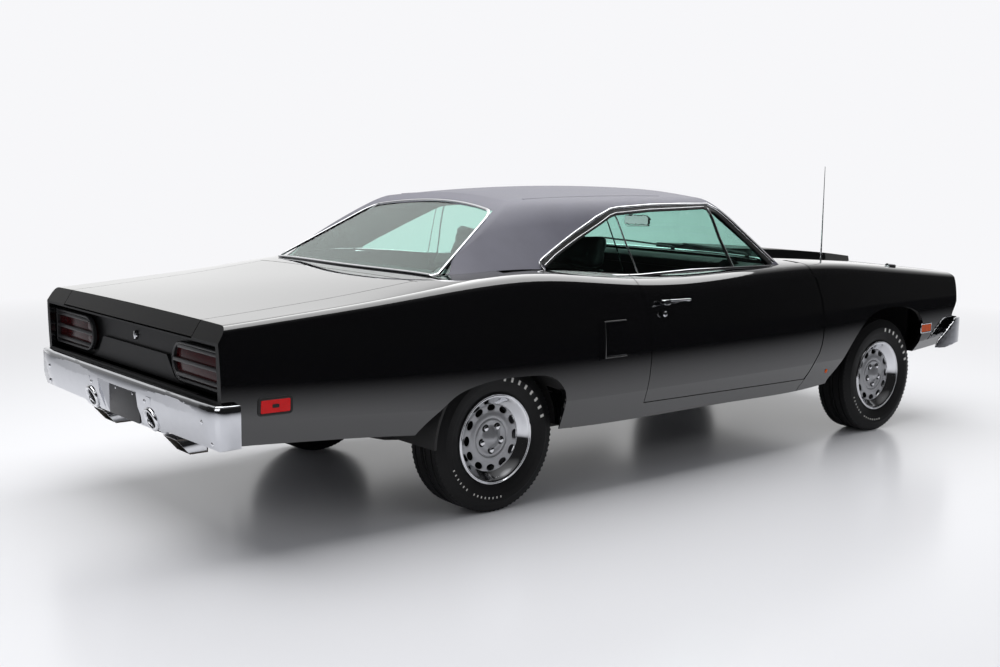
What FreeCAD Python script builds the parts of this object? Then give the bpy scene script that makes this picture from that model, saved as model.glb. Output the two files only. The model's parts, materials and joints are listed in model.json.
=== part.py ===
import FreeCAD, Part
import math
import os
from FreeCAD import Vector

# Two-door hardtop muscle car, built as a set of separate panels and running gear.
# Millimetres, X forward, Y to the car's left, Z up, origin on the ground under the middle.

doc = FreeCAD.newDocument("muscle_car")
sheet = doc.addObject("Spreadsheet::Sheet", "sizes")

# Driving sizes. Heights are above the ground, reaches are from the nearer axle.
SIZES = {
    "wheelbase": 2946, "rear_reach": 1405, "front_reach": 830,
    "track_front": 1516, "track_rear": 1504,
    "tyre_radius": 336, "tyre_width": 216, "rim_radius": 208, "rim_width": 178,
    "wall": 24, "panel_gap": 4.5, "side_depth": 812, "wide_z": 700, "sill_tuck": 35, "crease_tuck": 10,
    "roll": 45, "roof_wall": 24, "glass_thick": 6, "seat_gap": 0.3,
    "tail_panel_x": -1306, "tail_open_low": 662, "tail_open_top": 872, "tail_open_half": 868,
    "lid_half": 668, "lid_front": -330,
    "shelf_front": 60, "shelf_z": 1030,
    "hood_half": 712, "hood_rear": 2165, "bulge_half": 270, "bulge_rise": 36,
    "firewall_x": 2085,
    "nose_x": 3768, "nose_corner_x": 3750,
    "well_radius": 386, "well_inner": 600, "apron_half": 430,
    "steer_pivot_y": 690, "knuckle_half": 26,
    "grille_half": 838, "grille_low": 648, "grille_top": 872, "grille_x": 3665,
    "lamp_radius": 73, "engine_length": 800, "engine_half": 250, "engine_low": 320, "engine_top": 860,
    "bumper_wall": 14, "cowl_x": 1985, "well_outer": 921, "lid_low": 884, "door_core_front": 2118,
    "post_front": 2175, "lamp_low": 692, "lamp_top": 838, "lamp_inner": 421, "lamp_outer": 862, "engine_x": 2480,
    "scoop_rear": 556, "scoop_front": 777, "scoop_low": 672, "scoop_top": 832, "trim_rise": 4,
    "drum_radius": 132, "drum_depth": 38,
    "hinge_width": 14, "hinge_eye": 12, "hinge_pin": 6, "hinge_fit": 0.05, "lid_eye_x": -232, "lid_eye_z": 1006,
    "lid_arm_y": 600, "hood_eye_x": 2050, "hood_eye_z": 1006, "hood_arm_y": 640, "steer_room": 6,
    "slot_in": 128, "slot_out": 156, "slot_half": 9,
}
STATIONS = {"tail": -1372, "haunch": -560, "hip": 200, "latch": 830, "door": 1500, "cowl": 2300,
            "front": 2950, "nose": 3770}
LINES = {
    "low_z": (484, 432, 362, 345, 345, 352, 425, 478),
    "crease_z": (583, 537, 490, 484, 484, 487, 495, 540),
    "wide_y": (898, 932, 958, 962, 958, 946, 916, 872),
    "shoulder_y": (884, 893, 905, 905, 900, 886, 866, 832),
    "shoulder_z": (943, 1006, 1043, 999, 990, 1022, 985, 910),
    "slope": (0.03, 0.1, 0.5, 0.52, 0.52, 0.2, 0.12, 0.1),
    "crown_z": (948, 1030, 1090, 1080, 1075, 1045, 1010, 925),
}
ROOF_STATIONS = {"rear": -330, "backlight": 0, "sail": 246, "rail": 560, "middle": 1000, "header": 1500, "screen": 2250}
ROOF_LINES = {
    "base_y": (735, 806, 834, 842, 844, 843, 835),
    "base_z": (1000, 1015, 1020, 1010, 1005, 1000, 985),
    "edge_y": (430, 560, 575, 640, 688, 690, 700),
    "edge_z": (1080, 1290, 1368, 1388, 1392, 1388, 1350),
    "top_z": (1150, 1330, 1395, 1428, 1444, 1437, 1385),
}

row = 0


def enter(name, value):
    """Writes one named size in the sheet."""
    global row
    row += 1
    sheet.set(f"A{row}", name)
    sheet.set(f"B{row}", str(value))
    sheet.setAlias(f"B{row}", name)


for name, value in SIZES.items():
    enter(name, value)
for prefix, stations, lines in (("body", STATIONS, LINES), ("roof", ROOF_STATIONS, ROOF_LINES)):
    for index, (station, x) in enumerate(stations.items()):
        enter(f"{prefix}_x_{station}", x)
        for line, values in lines.items():
            enter(f"{prefix}_{line}_{station}", values[index])
enter("rear_axle_x", "=rear_reach - (rear_reach + wheelbase + front_reach) / 2")
doc.recompute()


def size(name):
    """One named size from the sheet."""
    return float(sheet.get(name))


def spline(xs, ys):
    """Natural cubic through the points, with straight ends beyond them."""
    count = len(xs)
    step = [xs[i + 1] - xs[i] for i in range(count - 1)]
    bend = [0.0] * count
    share = [0.0] * count
    load = [0.0] * count
    for i in range(1, count - 1):
        pull = 6 * ((ys[i + 1] - ys[i]) / step[i] - (ys[i] - ys[i - 1]) / step[i - 1])
        pivot = 2 * (step[i - 1] + step[i]) - step[i - 1] * share[i - 1]
        share[i] = step[i] / pivot
        load[i] = (pull - step[i - 1] * load[i - 1]) / pivot
    for i in range(count - 2, 0, -1):
        bend[i] = load[i] - share[i] * bend[i + 1]

    def at(x):
        x = min(max(x, xs[0]), xs[-1])
        i = max(k for k in range(count - 1) if xs[k] <= x or k == 0)
        a = (xs[i + 1] - x) / step[i]
        b = (x - xs[i]) / step[i]
        curve = ((a ** 3 - a) * bend[i] + (b ** 3 - b) * bend[i + 1]) * step[i] ** 2 / 6
        return a * ys[i] + b * ys[i + 1] + curve
    return at


def line_set(prefix, stations, lines):
    """The feature lines of a loft, each a function of x."""
    xs = [size(f"{prefix}_x_{s}") for s in stations]
    return {line: spline(xs, [size(f"{prefix}_{line}_{s}") for s in stations]) for line in lines}


body_line = line_set("body", STATIONS, LINES)
roof_line = line_set("roof", ROOF_STATIONS, ROOF_LINES)


def bezier(points):
    """A Bezier edge through the ends of its control points."""
    curve = Part.BezierCurve()
    curve.setPoles([Vector(*p) for p in points])
    return curve.toShape()


def segment(a, b):
    return Part.makeLine(Vector(*a), Vector(*b))


def mix(a, b, t):
    return tuple(p + (q - p) * t for p, q in zip(a, b))


def body_half(x, inset):
    """Control points of one flank, from the sill up over the shoulder to the centre line."""
    wide = body_line["wide_y"](x) - inset
    crease_z = body_line["crease_z"](x)
    sill = (wide - size("sill_tuck"), body_line["low_z"](x) + inset)
    crease = (wide - size("crease_tuck"), crease_z)
    lower = (wide + 2, size("wide_z") - 60)
    upper = (wide + 3, size("wide_z") + 110)
    corner = (body_line["shoulder_y"](x) - inset, body_line["shoulder_z"](x) - inset)
    slope = body_line["slope"](x)
    into = mix(corner, upper, 0.28)
    out = (corner[0] - size("roll"), corner[1] + slope * size("roll"))
    brow = (out[0] - 90, out[1] + slope * 90)
    crown_z = body_line["crown_z"](x) - inset
    return [[sill, crease], [crease, lower, upper, into], [into, corner, out],
            [out, brow, (0.42 * corner[0], crown_z), (0, crown_z)]]


def roof_half(x, inset):
    """Control points of one side of the greenhouse, from the belt up to the centre line."""
    base = (roof_line["base_y"](x) - inset, roof_line["base_z"](x) - 2 * inset)
    edge = (roof_line["edge_y"](x) - inset, roof_line["edge_z"](x) - inset)
    top_z = roof_line["top_z"](x) - inset
    rise = (top_z - edge[1]) * 1.2 / edge[0]
    into = mix(edge, base, 0.3)
    out = (edge[0] - 110, edge[1] + 110 * rise)
    brow = (out[0] - 110, out[1] + 110 * rise)
    return [[base, mix(base, into, 0.5), into], [into, edge, out],
            [out, brow, (0.4 * edge[0], top_z), (0, top_z)]]


def closed_section(half, x):
    """Closed wire of a mirrored half section at x."""
    right = [bezier([(x, -y, z) for y, z in points]) for points in half]
    left = [bezier([(x, y, z) for y, z in reversed(points)]) for points in reversed(half)]
    y, z = half[0][0]
    return Part.Wire(right + left + [segment((x, y, z), (x, -y, z))])


def loft(half_section, x_values, inset):
    sections = [closed_section(half_section(x, inset), x) for x in x_values]
    return Part.makeLoft(sections, True, False)


def spread(first, last, count):
    return [first + (last - first) * i / (count - 1) for i in range(count)]


def prism(points, axis, low, high):
    """Straight prism: points in the plane across the axis, from low to high along it."""
    place = {"x": lambda p: Vector(low, p[0], p[1]), "y": lambda p: Vector(p[0], low, p[1]),
             "z": lambda p: Vector(p[0], p[1], low)}[axis]
    corners = [place(p) for p in points]
    face = Part.Face(Part.makePolygon(corners + corners[:1]))
    way = {"x": Vector(1, 0, 0), "y": Vector(0, 1, 0), "z": Vector(0, 0, 1)}[axis]
    return face.extrude(way * (high - low))


def block(x0, x1, y0, y1, z0, z1):
    return Part.makeBox(x1 - x0, y1 - y0, z1 - z0, Vector(x0, y0, z0))


def rounded_prism(points, axis, low, high):
    """Prism of a smooth closed outline through the points."""
    place = {"x": lambda p: Vector(low, p[0], p[1]), "y": lambda p: Vector(p[0], low, p[1]),
             "z": lambda p: Vector(p[0], p[1], low)}[axis]
    way = {"x": Vector(1, 0, 0), "y": Vector(0, 1, 0), "z": Vector(0, 0, 1)}[axis]
    return Part.Face(smooth_wire([place(p) for p in points])).extrude(way * (high - low))


def smooth_wire(points):
    curve = Part.BSplineCurve()
    curve.interpolate(points)
    return Part.Wire([curve.toShape(), Part.makeLine(points[-1], points[0])])


def mirror(shape):
    return shape.mirror(Vector(0, 0, 0), Vector(0, 1, 0))


def piece(name, shape):
    """Adds one sub-part, built about the rear axle and then set in the car's frame."""
    feature = doc.addObject("Part::Feature", name)
    feature.Label = name
    feature.Shape = shape
    feature.Placement = FreeCAD.Placement(Vector(size("rear_axle_x"), 0, 0), FreeCAD.Rotation()) * shape.Placement
    return feature


def sided(name, right):
    """Adds a right-hand piece and its mirror image."""
    piece(f"{name}_right", right)
    piece(f"{name}_left", mirror(right))


wall = size("wall")
gap = size("panel_gap")
seat_gap = size("seat_gap")
side_depth = size("side_depth")
wheelbase = size("wheelbase")
hub_z = size("tyre_radius")
FAR = 6000.0
HIGH = 2000.0

# The whole lower body, its ends trimmed to the tail's profile and the nose's plan curve
tail_x = size("body_x_tail")
nose_x = size("nose_x")
corner_x = size("nose_corner_x")
body_sections = spread(tail_x, size("body_x_nose"), 17)
tail_profile = [(-1352, 300), (-1364, 655), (tail_x + 1, 884), (-1322, 960), (-1322, HIGH)]
nose_fall = [(48, HIGH), (48, 928), (14, 884), (0, 830), (3, 765), (31, 712), (63, 666), (74, 631), (74, 520),
             (190, 440), (190, 300)]
nose_profile = [(nose_x - back, z) for back, z in nose_fall]
nose_arc = Part.Arc(Vector(corner_x, 870, 0), Vector(nose_x, 0, 0), Vector(corner_x, -870, 0)).toShape()
nose_sides = Part.makePolygon([Vector(corner_x, -870, 0), Vector(corner_x - 60, -FAR, 0), Vector(-FAR, -FAR, 0),
                               Vector(-FAR, FAR, 0), Vector(corner_x - 60, FAR, 0), Vector(corner_x, 870, 0)])
nose_plan = Part.Face(Part.Wire([nose_arc] + nose_sides.Edges)).extrude(Vector(0, 0, HIGH))
mass = loft(body_half, body_sections, 0).common([prism(tail_profile + nose_profile, "y", -FAR, FAR)])
mass = mass.common(nose_plan)
hollow = loft(body_half, body_sections, wall)

# Space inside: boot, cabin between deep sides, engine bay, wheel wells, openings at both ends
shelf_front = size("shelf_front")
firewall_x = size("firewall_x")
cowl_x = size("cowl_x")
grille_half = size("grille_half")
boot_profile = [(-1330, 0), (-1345, 655), (-1348, 872), (-1300, 925), (-1300, HIGH), (shelf_front, HIGH),
                (shelf_front, 0)]
boot_space = hollow.common(prism(boot_profile, "y", -FAR, FAR))
cabin_space = block(shelf_front - 1, firewall_x, -side_depth, side_depth, 368, 896).fuse(
    block(shelf_front - 1, cowl_x, -side_depth, side_depth, 895, HIGH))
bay_profile = [(firewall_x + wall, 0), (firewall_x + wall, HIGH)] + [(x - wall, z) for x, z in nose_profile]
bay_profile.append((nose_x - 190 - wall, 0))
bay_space = hollow.common(prism(bay_profile, "y", -FAR, FAR))
tail_opening = block(tail_x - 60, -1280, -size("tail_open_half"), size("tail_open_half"),
                     size("tail_open_low"), size("tail_open_top"))
nose_opening = block(nose_x - 160, FAR, -grille_half, grille_half, size("grille_low"), size("grille_top"))


def well(axle_x, inner, outer, radius):
    """Space round a wheel, open downwards."""
    drum = Part.makeCylinder(radius, outer - inner, Vector(axle_x, -outer, hub_z), Vector(0, 1, 0))
    return drum.fuse(block(axle_x - radius, axle_x + radius, -outer, -inner, 0, hub_z))


well_inner = size("well_inner")
well_outer = size("well_outer")
well_radius = size("well_radius")
rear_well = well(0, well_inner, well_outer, well_radius)
rear_arch = [(-490, 300), (-490, 417), (-464, 445), (-410, 492), (-353, 535), (-291, 578), (-227, 601), (-134, 620),
             (-25, 628), (87, 627), (174, 622), (234, 609), (288, 575), (322, 530), (329, 489), (326, 447),
             (315, 388), (300, 300)]
front_arch = [(-590, 300), (-586, 377), (-548, 409), (-473, 476), (-390, 566), (-322, 633), (-248, 689), (-156, 730),
              (-46, 748), (95, 748), (210, 735), (307, 708), (371, 665), (398, 617), (398, 570), (378, 517),
              (356, 470), (309, 427), (305, 300)]
front_arch = [(wheelbase + x, z) for x, z in front_arch]
openings = [boot_space, cabin_space, bay_space, tail_opening, nose_opening, rear_well, mirror(rear_well)]
for arch in (rear_arch, front_arch):
    cutter = rounded_prism(arch, "y", -FAR, -well_inner)
    openings += [cutter, mirror(cutter)]
floor_void = block(-1326, 345, -835, 835, 0, 515)
shell = mass.cut(openings + [floor_void])
skin = mass.cut([hollow])

# Shut lines of the door, from the side, and the plan of the lid and the hood
door_top = 1200
door_rear = [(828, door_top), (828, 1009), (846, 900), (862, 827), (872, 700), (874, 640), (866, 540),
             (846, 418)]
door_front = [(2130, 403), (2167, 445), (2199, 492), (2238, 541), (2257, 589), (2266, 644), (2266, 714), (2262, 770),
              (2253, 839), (2233, 909), (2219, 960), (2196, 990), (2196, door_top)]


def door_region(inner, shrink):
    """Prism of the door between its shut lines, drawn in all round."""
    rear = [(x + shrink, z) for x, z in door_rear[:-1]]
    rear += [(door_rear[-1][0] + shrink, door_rear[-1][1] + shrink)]
    front = [(door_front[0][0] - shrink, door_front[0][1] + shrink)]
    front += [(x - shrink, z) for x, z in door_front[1:]]
    return prism(rear + front, "y", -FAR, -inner)


lid_half = size("lid_half")
lid_front = size("lid_front")
lid_low = size("lid_low")
hood_half = size("hood_half")
hood_rear = size("hood_rear")


def lid_region(shrink):
    return block(tail_x - 60, lid_front - shrink, -lid_half + shrink, lid_half - shrink, lid_low + shrink, HIGH)


def hood_region(shrink):
    return block(hood_rear + shrink, FAR, -hood_half + shrink, hood_half - shrink,
                 size("grille_top") - 2 + shrink, HIGH)


# Body sides, fenders, doors
door_void = door_region(side_depth - 1, 0)
fender_post = [(x + gap, z) for x, z in [(2040, 300), (2085, 360)] + door_front]
fender_region = prism(fender_post + [(FAR, door_top), (FAR, 300)], "y", -FAR, -hood_half)
behind_fender = prism([(x, z) for x, z in [(2040, 300), (2085, 360)] + door_front] + [(-FAR, door_top), (-FAR, 300)],
                      "y", -FAR, -lid_half - gap / 2)
side_region = behind_fender.cut([block(lid_front - gap / 2, shelf_front, -700, 0, 500, HIGH),
                                 block(shelf_front, FAR, -side_depth, 0, 0, HIGH)])
scoop_rear = size("scoop_rear")
scoop_front = size("scoop_front")
scoop_low = size("scoop_low")
scoop_top = size("scoop_top")
proud = loft(body_half, body_sections, -size("trim_rise"))
scoop_frame = block(scoop_rear - 30, scoop_front, -FAR, 0, scoop_low - 14, scoop_top + 12).common(proud).cut([mass])
scoop = prism([(scoop_rear, -943), (scoop_rear, -FAR), (scoop_front + 2, -FAR), (scoop_front, -963)],
              "z", scoop_low, scoop_top)
body_side = shell.common(side_region).fuse(scoop_frame).cut([door_void, scoop])
sided("body_side", body_side)

deep = mass.cut([rear_well])
door_core = deep.common(door_region(side_depth, 16)).common(block(-FAR, size("door_core_front"), -FAR, 0, 0, HIGH))
door = skin.common(door_region(side_depth, gap)).fuse(door_core)
sided("door", door)

fender = shell.common(fender_region).cut([block(-FAR, hood_rear + gap / 2, -side_depth, 0, 0, HIGH)])
steer_room = size("steer_room")
pivot = size("steer_pivot_y")
tyre_space = Part.makeCylinder(hub_z + steer_room, size("tyre_width") + 2 * steer_room,
                               Vector(0, pivot - size("track_front") / 2 - size("tyre_width") / 2 - steer_room, 0),
                               Vector(0, 1, 0))
for angle in spread(-33, 33, 13):
    turned_space = tyre_space.copy()
    turned_space.rotate(Vector(0, 0, 0), Vector(0, 0, 1), angle)
    turned_space.translate(Vector(wheelbase, -pivot, hub_z))
    fender = fender.cut([turned_space])
sided("front_fender", fender)


# Cowl with the firewall, rear deck panel with the parcel shelf, floor with wheelhouses
def tunnel_solid(grow):
    """Space of the floor tunnel, lower towards the tail."""
    line = [(200, 0), (200, 446), (700, 470), (1500, 534), (2200, 534), (2200, 0)]
    return prism([(x, z + grow if z else 0) for x, z in line], "y", -164 - grow, 164 + grow)


cowl = shell.common(block(cowl_x - 30, hood_rear - gap / 2, -side_depth + seat_gap, side_depth - seat_gap,
                          368.3, HIGH))
cowl = cowl.cut([tunnel_solid(seat_gap)])
pillar = block(firewall_x + wall, size("post_front"), -side_depth, -side_depth + 42, 380, 960)
pillar = pillar.fuse(block(firewall_x + wall + 15, size("post_front"), -side_depth - 33, -side_depth + 1, 380, 960))
hood_eye = (size("hood_eye_x"), size("hood_eye_z"))
hood_arm_y = size("hood_arm_y")
pocket = block(hood_eye[0] - 25, hood_rear + 5, hood_arm_y - 8, hood_arm_y + 30, 906, HIGH).common(hollow)
pin = Part.makeCylinder(size("hinge_pin"), 48, Vector(hood_eye[0], hood_arm_y - 10, hood_eye[1]), Vector(0, 1, 0))
cowl = cowl.cut([pocket, mirror(pocket)]).fuse([pillar, mirror(pillar), pin, mirror(pin)])
piece("cowl", cowl)

deck_panel = shell.common(block(lid_front + gap / 2, shelf_front, -700 + seat_gap, 700 - seat_gap, 700, HIGH))
shelf_z = size("shelf_z")
deck_panel = deck_panel.common(prism([(lid_front, HIGH), (lid_front, 700), (-215, 700), (-215, HIGH)],
                                     "y", -FAR, FAR))
shelf = block(-205, 170, -698, 698, shelf_z - 14, shelf_z)
lid_arm_y = size("lid_arm_y")
plate = block(-262, -170, lid_arm_y + 24, lid_arm_y + 36, 985, HIGH).common(hollow)
pin = Part.makeCylinder(size("hinge_pin"), 40, Vector(size("lid_eye_x"), lid_arm_y - 4, size("lid_eye_z")),
                        Vector(0, 1, 0))
hangers = [plate, mirror(plate), pin, mirror(pin)]
rear_wall = prism([(150, shelf_z - 14), (168, shelf_z - 14), (258, 578), (238, 578)], "y", -586, 586)
piece("rear_deck", deck_panel.fuse([shelf, rear_wall] + hangers))

floor_plate = shell.common(block(345, firewall_x + wall, -side_depth, side_depth, 0, 368))
tunnel_void = tunnel_solid(-14)
tunnel = tunnel_solid(0).cut([tunnel_void]).common(block(232, firewall_x + wall, -FAR, FAR, 350, HIGH))
rear_floor_line = [(345, 346), (345, 368), (240, 578), (-330, 578), (-410, 530), (-1322, 530), (-1322, 512),
                   (-418, 512), (-338, 560), (232, 560), (328, 346)]
rear_floor = prism(rear_floor_line, "y", -587, 587)
boot_floor = block(-1322, -400, -835, 835, 512, 530)
house = well(0, well_inner - 12, well_outer, well_radius + 12)
house = house.cut([rear_well, block(-FAR, FAR, -FAR, 0, 0, 350)]).common(block(-FAR, FAR, -FAR, 0, 0, HIGH))
house = house.cut([body_side, block(-FAR, -400, -FAR, 0, 0, 512), block(-FAR, 232, -well_inner, 0, 0, 560)])
floor_pan = floor_plate.fuse([rear_floor, boot_floor]).cut([tunnel_void]).fuse([tunnel, house, mirror(house)])
piece("floor_pan", floor_pan)

# Boot lid and hood with its raised centre
lid_edge = lid_front - gap / 2
lid_bevel = prism([(lid_edge, 1056), (lid_edge - 14, 1000), (FAR, 1000), (FAR, 1056)], "y", -FAR, FAR)
lid = shell.common(lid_region(gap / 2)).cut([lid_bevel])


def hinge_arm(path, eye, width_at):
    """A bent strap from a lid down and round to the eye on its hinge pin."""
    arm = prism(path, "y", width_at, width_at + hinge_width)
    ring = Part.makeCylinder(hinge_eye, hinge_width, Vector(eye[0], width_at, eye[1]), Vector(0, 1, 0))
    hole = Part.makeCylinder(hinge_pin + hinge_fit, 400, Vector(eye[0], width_at - 200, eye[1]), Vector(0, 1, 0))
    return arm.fuse(ring).cut(hole)


hinge_width = size("hinge_width")
hinge_eye = size("hinge_eye")
hinge_pin = size("hinge_pin")
hinge_fit = size("hinge_fit")
lid_eye = (size("lid_eye_x"), size("lid_eye_z"))
lid_path = [(-362, 1100), (-362, 900), (lid_eye[0] + 6, 900), (lid_eye[0] + 6, lid_eye[1]),
            (lid_eye[0] - 6, lid_eye[1]), (lid_eye[0] - 6, 912), (-350, 912), (-350, 1100)]
lid_arm = hinge_arm(lid_path, lid_eye, lid_arm_y).common(hollow)
lid = lid.fuse([lid_arm, mirror(lid_arm)])
piece("trunk_lid", lid)
bulge_half = size("bulge_half")
bulge_rise = size("bulge_rise")
bulge_plan = [(2235, -bulge_half), (2235, bulge_half), (3150, bulge_half * 0.88), (3540, bulge_half * 0.5),
              (3540, -bulge_half * 0.5), (3150, -bulge_half * 0.88)]


def plan_wire(points, z, grow):
    centre_x = 2780
    corners = [Vector(x + math.copysign(grow, x - centre_x), y + math.copysign(grow, y), z) for x, y in points]
    return Part.makePolygon(corners + corners[:1])


raised = mass.copy()
raised.translate(Vector(0, 0, bulge_rise))
draft = Part.makeLoft([plan_wire(bulge_plan, 900, 45), plan_wire(bulge_plan, 1100, -20)], True, True)
hood_edge = hood_rear + gap / 2
hood_bevel = prism([(hood_edge, 1050), (hood_edge + 15, 992), (0, 992), (0, 1050)], "y", -FAR, FAR)
hood = shell.common(hood_region(gap / 2)).cut([hood_bevel])
hood_path = [(2204, 1100), (2204, 913), (hood_eye[0] - 6, 913), (hood_eye[0] - 6, hood_eye[1]),
             (hood_eye[0] + 6, hood_eye[1]), (hood_eye[0] + 6, 925), (2192, 925), (2192, 1100)]
hood_arm = hinge_arm(hood_path, hood_eye, hood_arm_y).common(hollow)
hood = hood.fuse([hood_arm, mirror(hood_arm)])
bulge = draft.common(raised).cut([mass])
hood = hood.fuse(bulge)
piece("hood", hood)

# Greenhouse: arch loft trimmed by the sloped screens, then opened for the glass
roof_sections = spread(size("roof_x_rear"), size("roof_x_screen"), 13)


def screen_plan(z, front_mid, front_side, rear_mid, rear_side, inset):
    """Plan outline between the two screens at one height."""
    half = 1000
    front = Part.Arc(Vector(front_side - inset, -half, z), Vector(front_mid - inset, 0, z),
                     Vector(front_side - inset, half, z)).toShape()
    rear = Part.Arc(Vector(rear_side + inset, half, z), Vector(rear_mid + inset, 0, z),
                    Vector(rear_side + inset, -half, z)).toShape()
    return Part.Wire([front, segment((front_side - inset, half, z), (rear_side + inset, half, z)), rear,
                      segment((rear_side + inset, -half, z), (front_side - inset, -half, z))])


def greenhouse(inset, slant):
    arch = loft(roof_half, roof_sections, inset)
    lower = screen_plan(900, 2327, 2105, -527, -495, slant)
    upper = screen_plan(1500, 1511, 1320, 528, 556, slant)
    return arch.common(Part.makeLoft([lower, upper], True, True))


roof_wall = size("roof_wall")
glass = size("glass_thick")
outer_roof = greenhouse(0, 0)
roof_shell = outer_roof.cut([greenhouse(roof_wall, roof_wall * 1.7), mass])
side_window = [(326, 1092), (414, 1138), (577, 1211), (706, 1265), (812, 1311), (857, 1322), (1097, 1336),
               (1323, 1340), (1516, 1344), (1592, 1319), (1745, 1192), (1833, 1121), (1940, 1027), (1940, 900),
               (326, 900)]
window_cut = prism(side_window, "y", -FAR, FAR)
screen_front = [(-742, 1040), (-600, 1362), (0, 1386), (600, 1362), (742, 1040), (742, 900), (-742, 900)]
screen_rear = [(-688, 1074), (-497, 1338), (0, 1372), (497, 1338), (688, 1074), (688, 900), (-688, 900)]
front_cut = prism(screen_front, "x", 1300, FAR)
rear_cut = prism(screen_rear, "x", -FAR, 640)
roof = roof_shell.cut([window_cut, front_cut, rear_cut])
piece("roof", roof)

pane = outer_roof.cut([greenhouse(glass, glass * 1.7), mass])
piece("windshield", pane.common(front_cut).common(block(1300, FAR, -FAR, FAR, 0, HIGH)))
piece("rear_window", pane.common(rear_cut).common(block(-FAR, 620, -FAR, FAR, 0, HIGH)))
side_pane = greenhouse(8, 16).cut([greenhouse(8 + glass, 16 + glass * 1.7), mass]).common(window_cut)
split_low = 920
split_high = 734
rear_part = prism([(-FAR, 0), (split_low, 0), (split_high, HIGH), (-FAR, HIGH)], "y", -FAR, FAR)
front_part = prism([(FAR, 0), (split_low + gap, 0), (split_high + gap, HIGH), (FAR, HIGH)], "y", -FAR, FAR)
piece("quarter_glass", side_pane.common(rear_part))
door_glass = side_pane.common(front_part).common(block(-FAR, FAR, -FAR, 0, 0, HIGH))
sided("door_glass", door_glass)

# Tail: recessed panel, lamps, bumper
tail_panel_x = size("tail_panel_x")
tail_half = size("tail_open_half")
tail_low = size("tail_open_low")
tail_top = size("tail_open_top")
frame_half = lid_half + gap / 2 - seat_gap
tail_frame = shell.common(block(tail_x - 60, -1290, -frame_half, frame_half, 400, lid_low - gap))
tail_sheet = block(tail_panel_x, tail_panel_x + 12, -tail_half, tail_half, tail_low, tail_top)
raised_panel = prism([(-400, 690), (-470, tail_low + 4), (470, tail_low + 4), (400, 690), (330, 770), (-330, 770)],
                     "x", tail_panel_x - 14, tail_panel_x)
piece("tail_panel", tail_frame.fuse([tail_sheet, raised_panel]))


def lamp_outline(side):
    """Tail lamp from behind: square outside, rounded inside."""
    middle = (size("lamp_low") + size("lamp_top")) / 2
    radius = (size("lamp_top") - size("lamp_low")) / 2
    inner = side * (size("lamp_inner") + radius)
    outer = side * size("lamp_outer")
    arc = Part.Arc(Vector(0, inner, middle - radius), Vector(0, inner - side * radius, middle),
                   Vector(0, inner, middle + radius)).toShape()
    rest = Part.makePolygon([Vector(0, inner, middle + radius), Vector(0, outer, middle + radius),
                             Vector(0, outer, middle - radius), Vector(0, inner, middle - radius)])
    return Part.Wire([arc] + rest.Edges)


lamps = []
for side in (-1, 1):
    lens = Part.Face(lamp_outline(side)).extrude(Vector(-16, 0, 0))
    lens.translate(Vector(tail_panel_x - seat_gap, 0, 0))
    lamps.append(lens)
marker = block(-1228, -1112, -952, -900, 608, 655)
rear_marker = marker.common(proud).cut([mass])
lamps += [rear_marker, mirror(rear_marker)]
piece("rear_lamps", Part.makeCompound(lamps))

bumper_wall = size("bumper_wall")


def bumper_outline(half, end_x, front_x, grow):
    """Plan of a wrap-round bumper, for the rear one."""
    return [(end_x, half - 2 + grow), (front_x + 60, half + grow), (front_x + 12, half - 30 + grow),
            (front_x, half - 110), (front_x, 0), (front_x, -half + 110), (front_x + 12, -half + 30 - grow),
            (front_x + 60, -half - grow), (end_x, -half + 2 - grow)]


rear_face = -1405
bar = rounded_prism(bumper_outline(930, -1300, rear_face, 0), "z", 400, 652)
bar_space = rounded_prism(bumper_outline(930 - bumper_wall, -1200, rear_face + bumper_wall, 0), "z", 300, 700)
bumper_fall = [(-1390, 652), (-1400, 645), (-1406, 612), (-1402, 590), (-1396, 540), (-1372, 470), (-1345, 400)]
bumper_side = prism([(-1290, 652)] + bumper_fall + [(-1290, 400)], "y", -FAR, FAR)
bumper_inside = [(x + bumper_wall, min(z, 652 - bumper_wall)) for x, z in bumper_fall[1:]]
bumper_inside = prism([(-1150, 652 - bumper_wall)] + bumper_inside + [(-1325, 380), (-1150, 380)], "y", -FAR, FAR)
bumper_edge = [(-940, 660), (940, 660), (940, 490), (870, 466), (549, 449), (300, 428), (160, 404), (-160, 404),
               (-300, 428), (-549, 449), (-870, 466), (-940, 490)]
bumper_front_view = prism(bumper_edge, "x", -1500, -1200)
bracket = block(rear_face + 2, -1300, 300, 340, 540, 600).fuse(block(rear_face + 2, -1300, -340, -300, 540, 600))
rear_bumper = bar.common(bumper_side).common(bumper_front_view).cut([bar_space.common(bumper_inside)])
rear_bumper = rear_bumper.fuse(bracket).cut([mass])
piece("rear_bumper", rear_bumper)

# Nose: surround, grille, lamps, bumper
surround = shell.common(block(firewall_x, FAR, -hood_half + seat_gap, hood_half - seat_gap, 0,
                              size("grille_top") - gap - 2))
surround = surround.common(block(3450, FAR, -FAR, FAR, 0, HIGH))
piece("front_panel", surround)
grille_x = size("grille_x")
grille_low = size("grille_low")
grille_top = size("grille_top")
lamp_radius = size("lamp_radius")
lamp_centres = [(y, (grille_low + grille_top) / 2) for y in (-735, -560, 560, 735)]
grille_edge = grille_half - seat_gap
grille = block(grille_x, grille_x + 12, -grille_edge, grille_edge, grille_low + seat_gap, grille_top - 8)
bars = [block(grille_x + 12, grille_x + 40, -grille_edge, grille_edge, z, z + 6)
        for z in spread(grille_low + 20, grille_top - 30, 8)]
grille = grille.fuse(bars)
head_lamps = []
for y, z in lamp_centres:
    bore = Part.makeCylinder(lamp_radius + 12, 200, Vector(grille_x - 60, y, z), Vector(1, 0, 0))
    grille = grille.cut([bore])
    head_lamps.append(Part.makeCylinder(lamp_radius + 12 - seat_gap, 60, Vector(grille_x - 10, y, z),
                                        Vector(1, 0, 0)))
piece("grille", grille)
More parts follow.
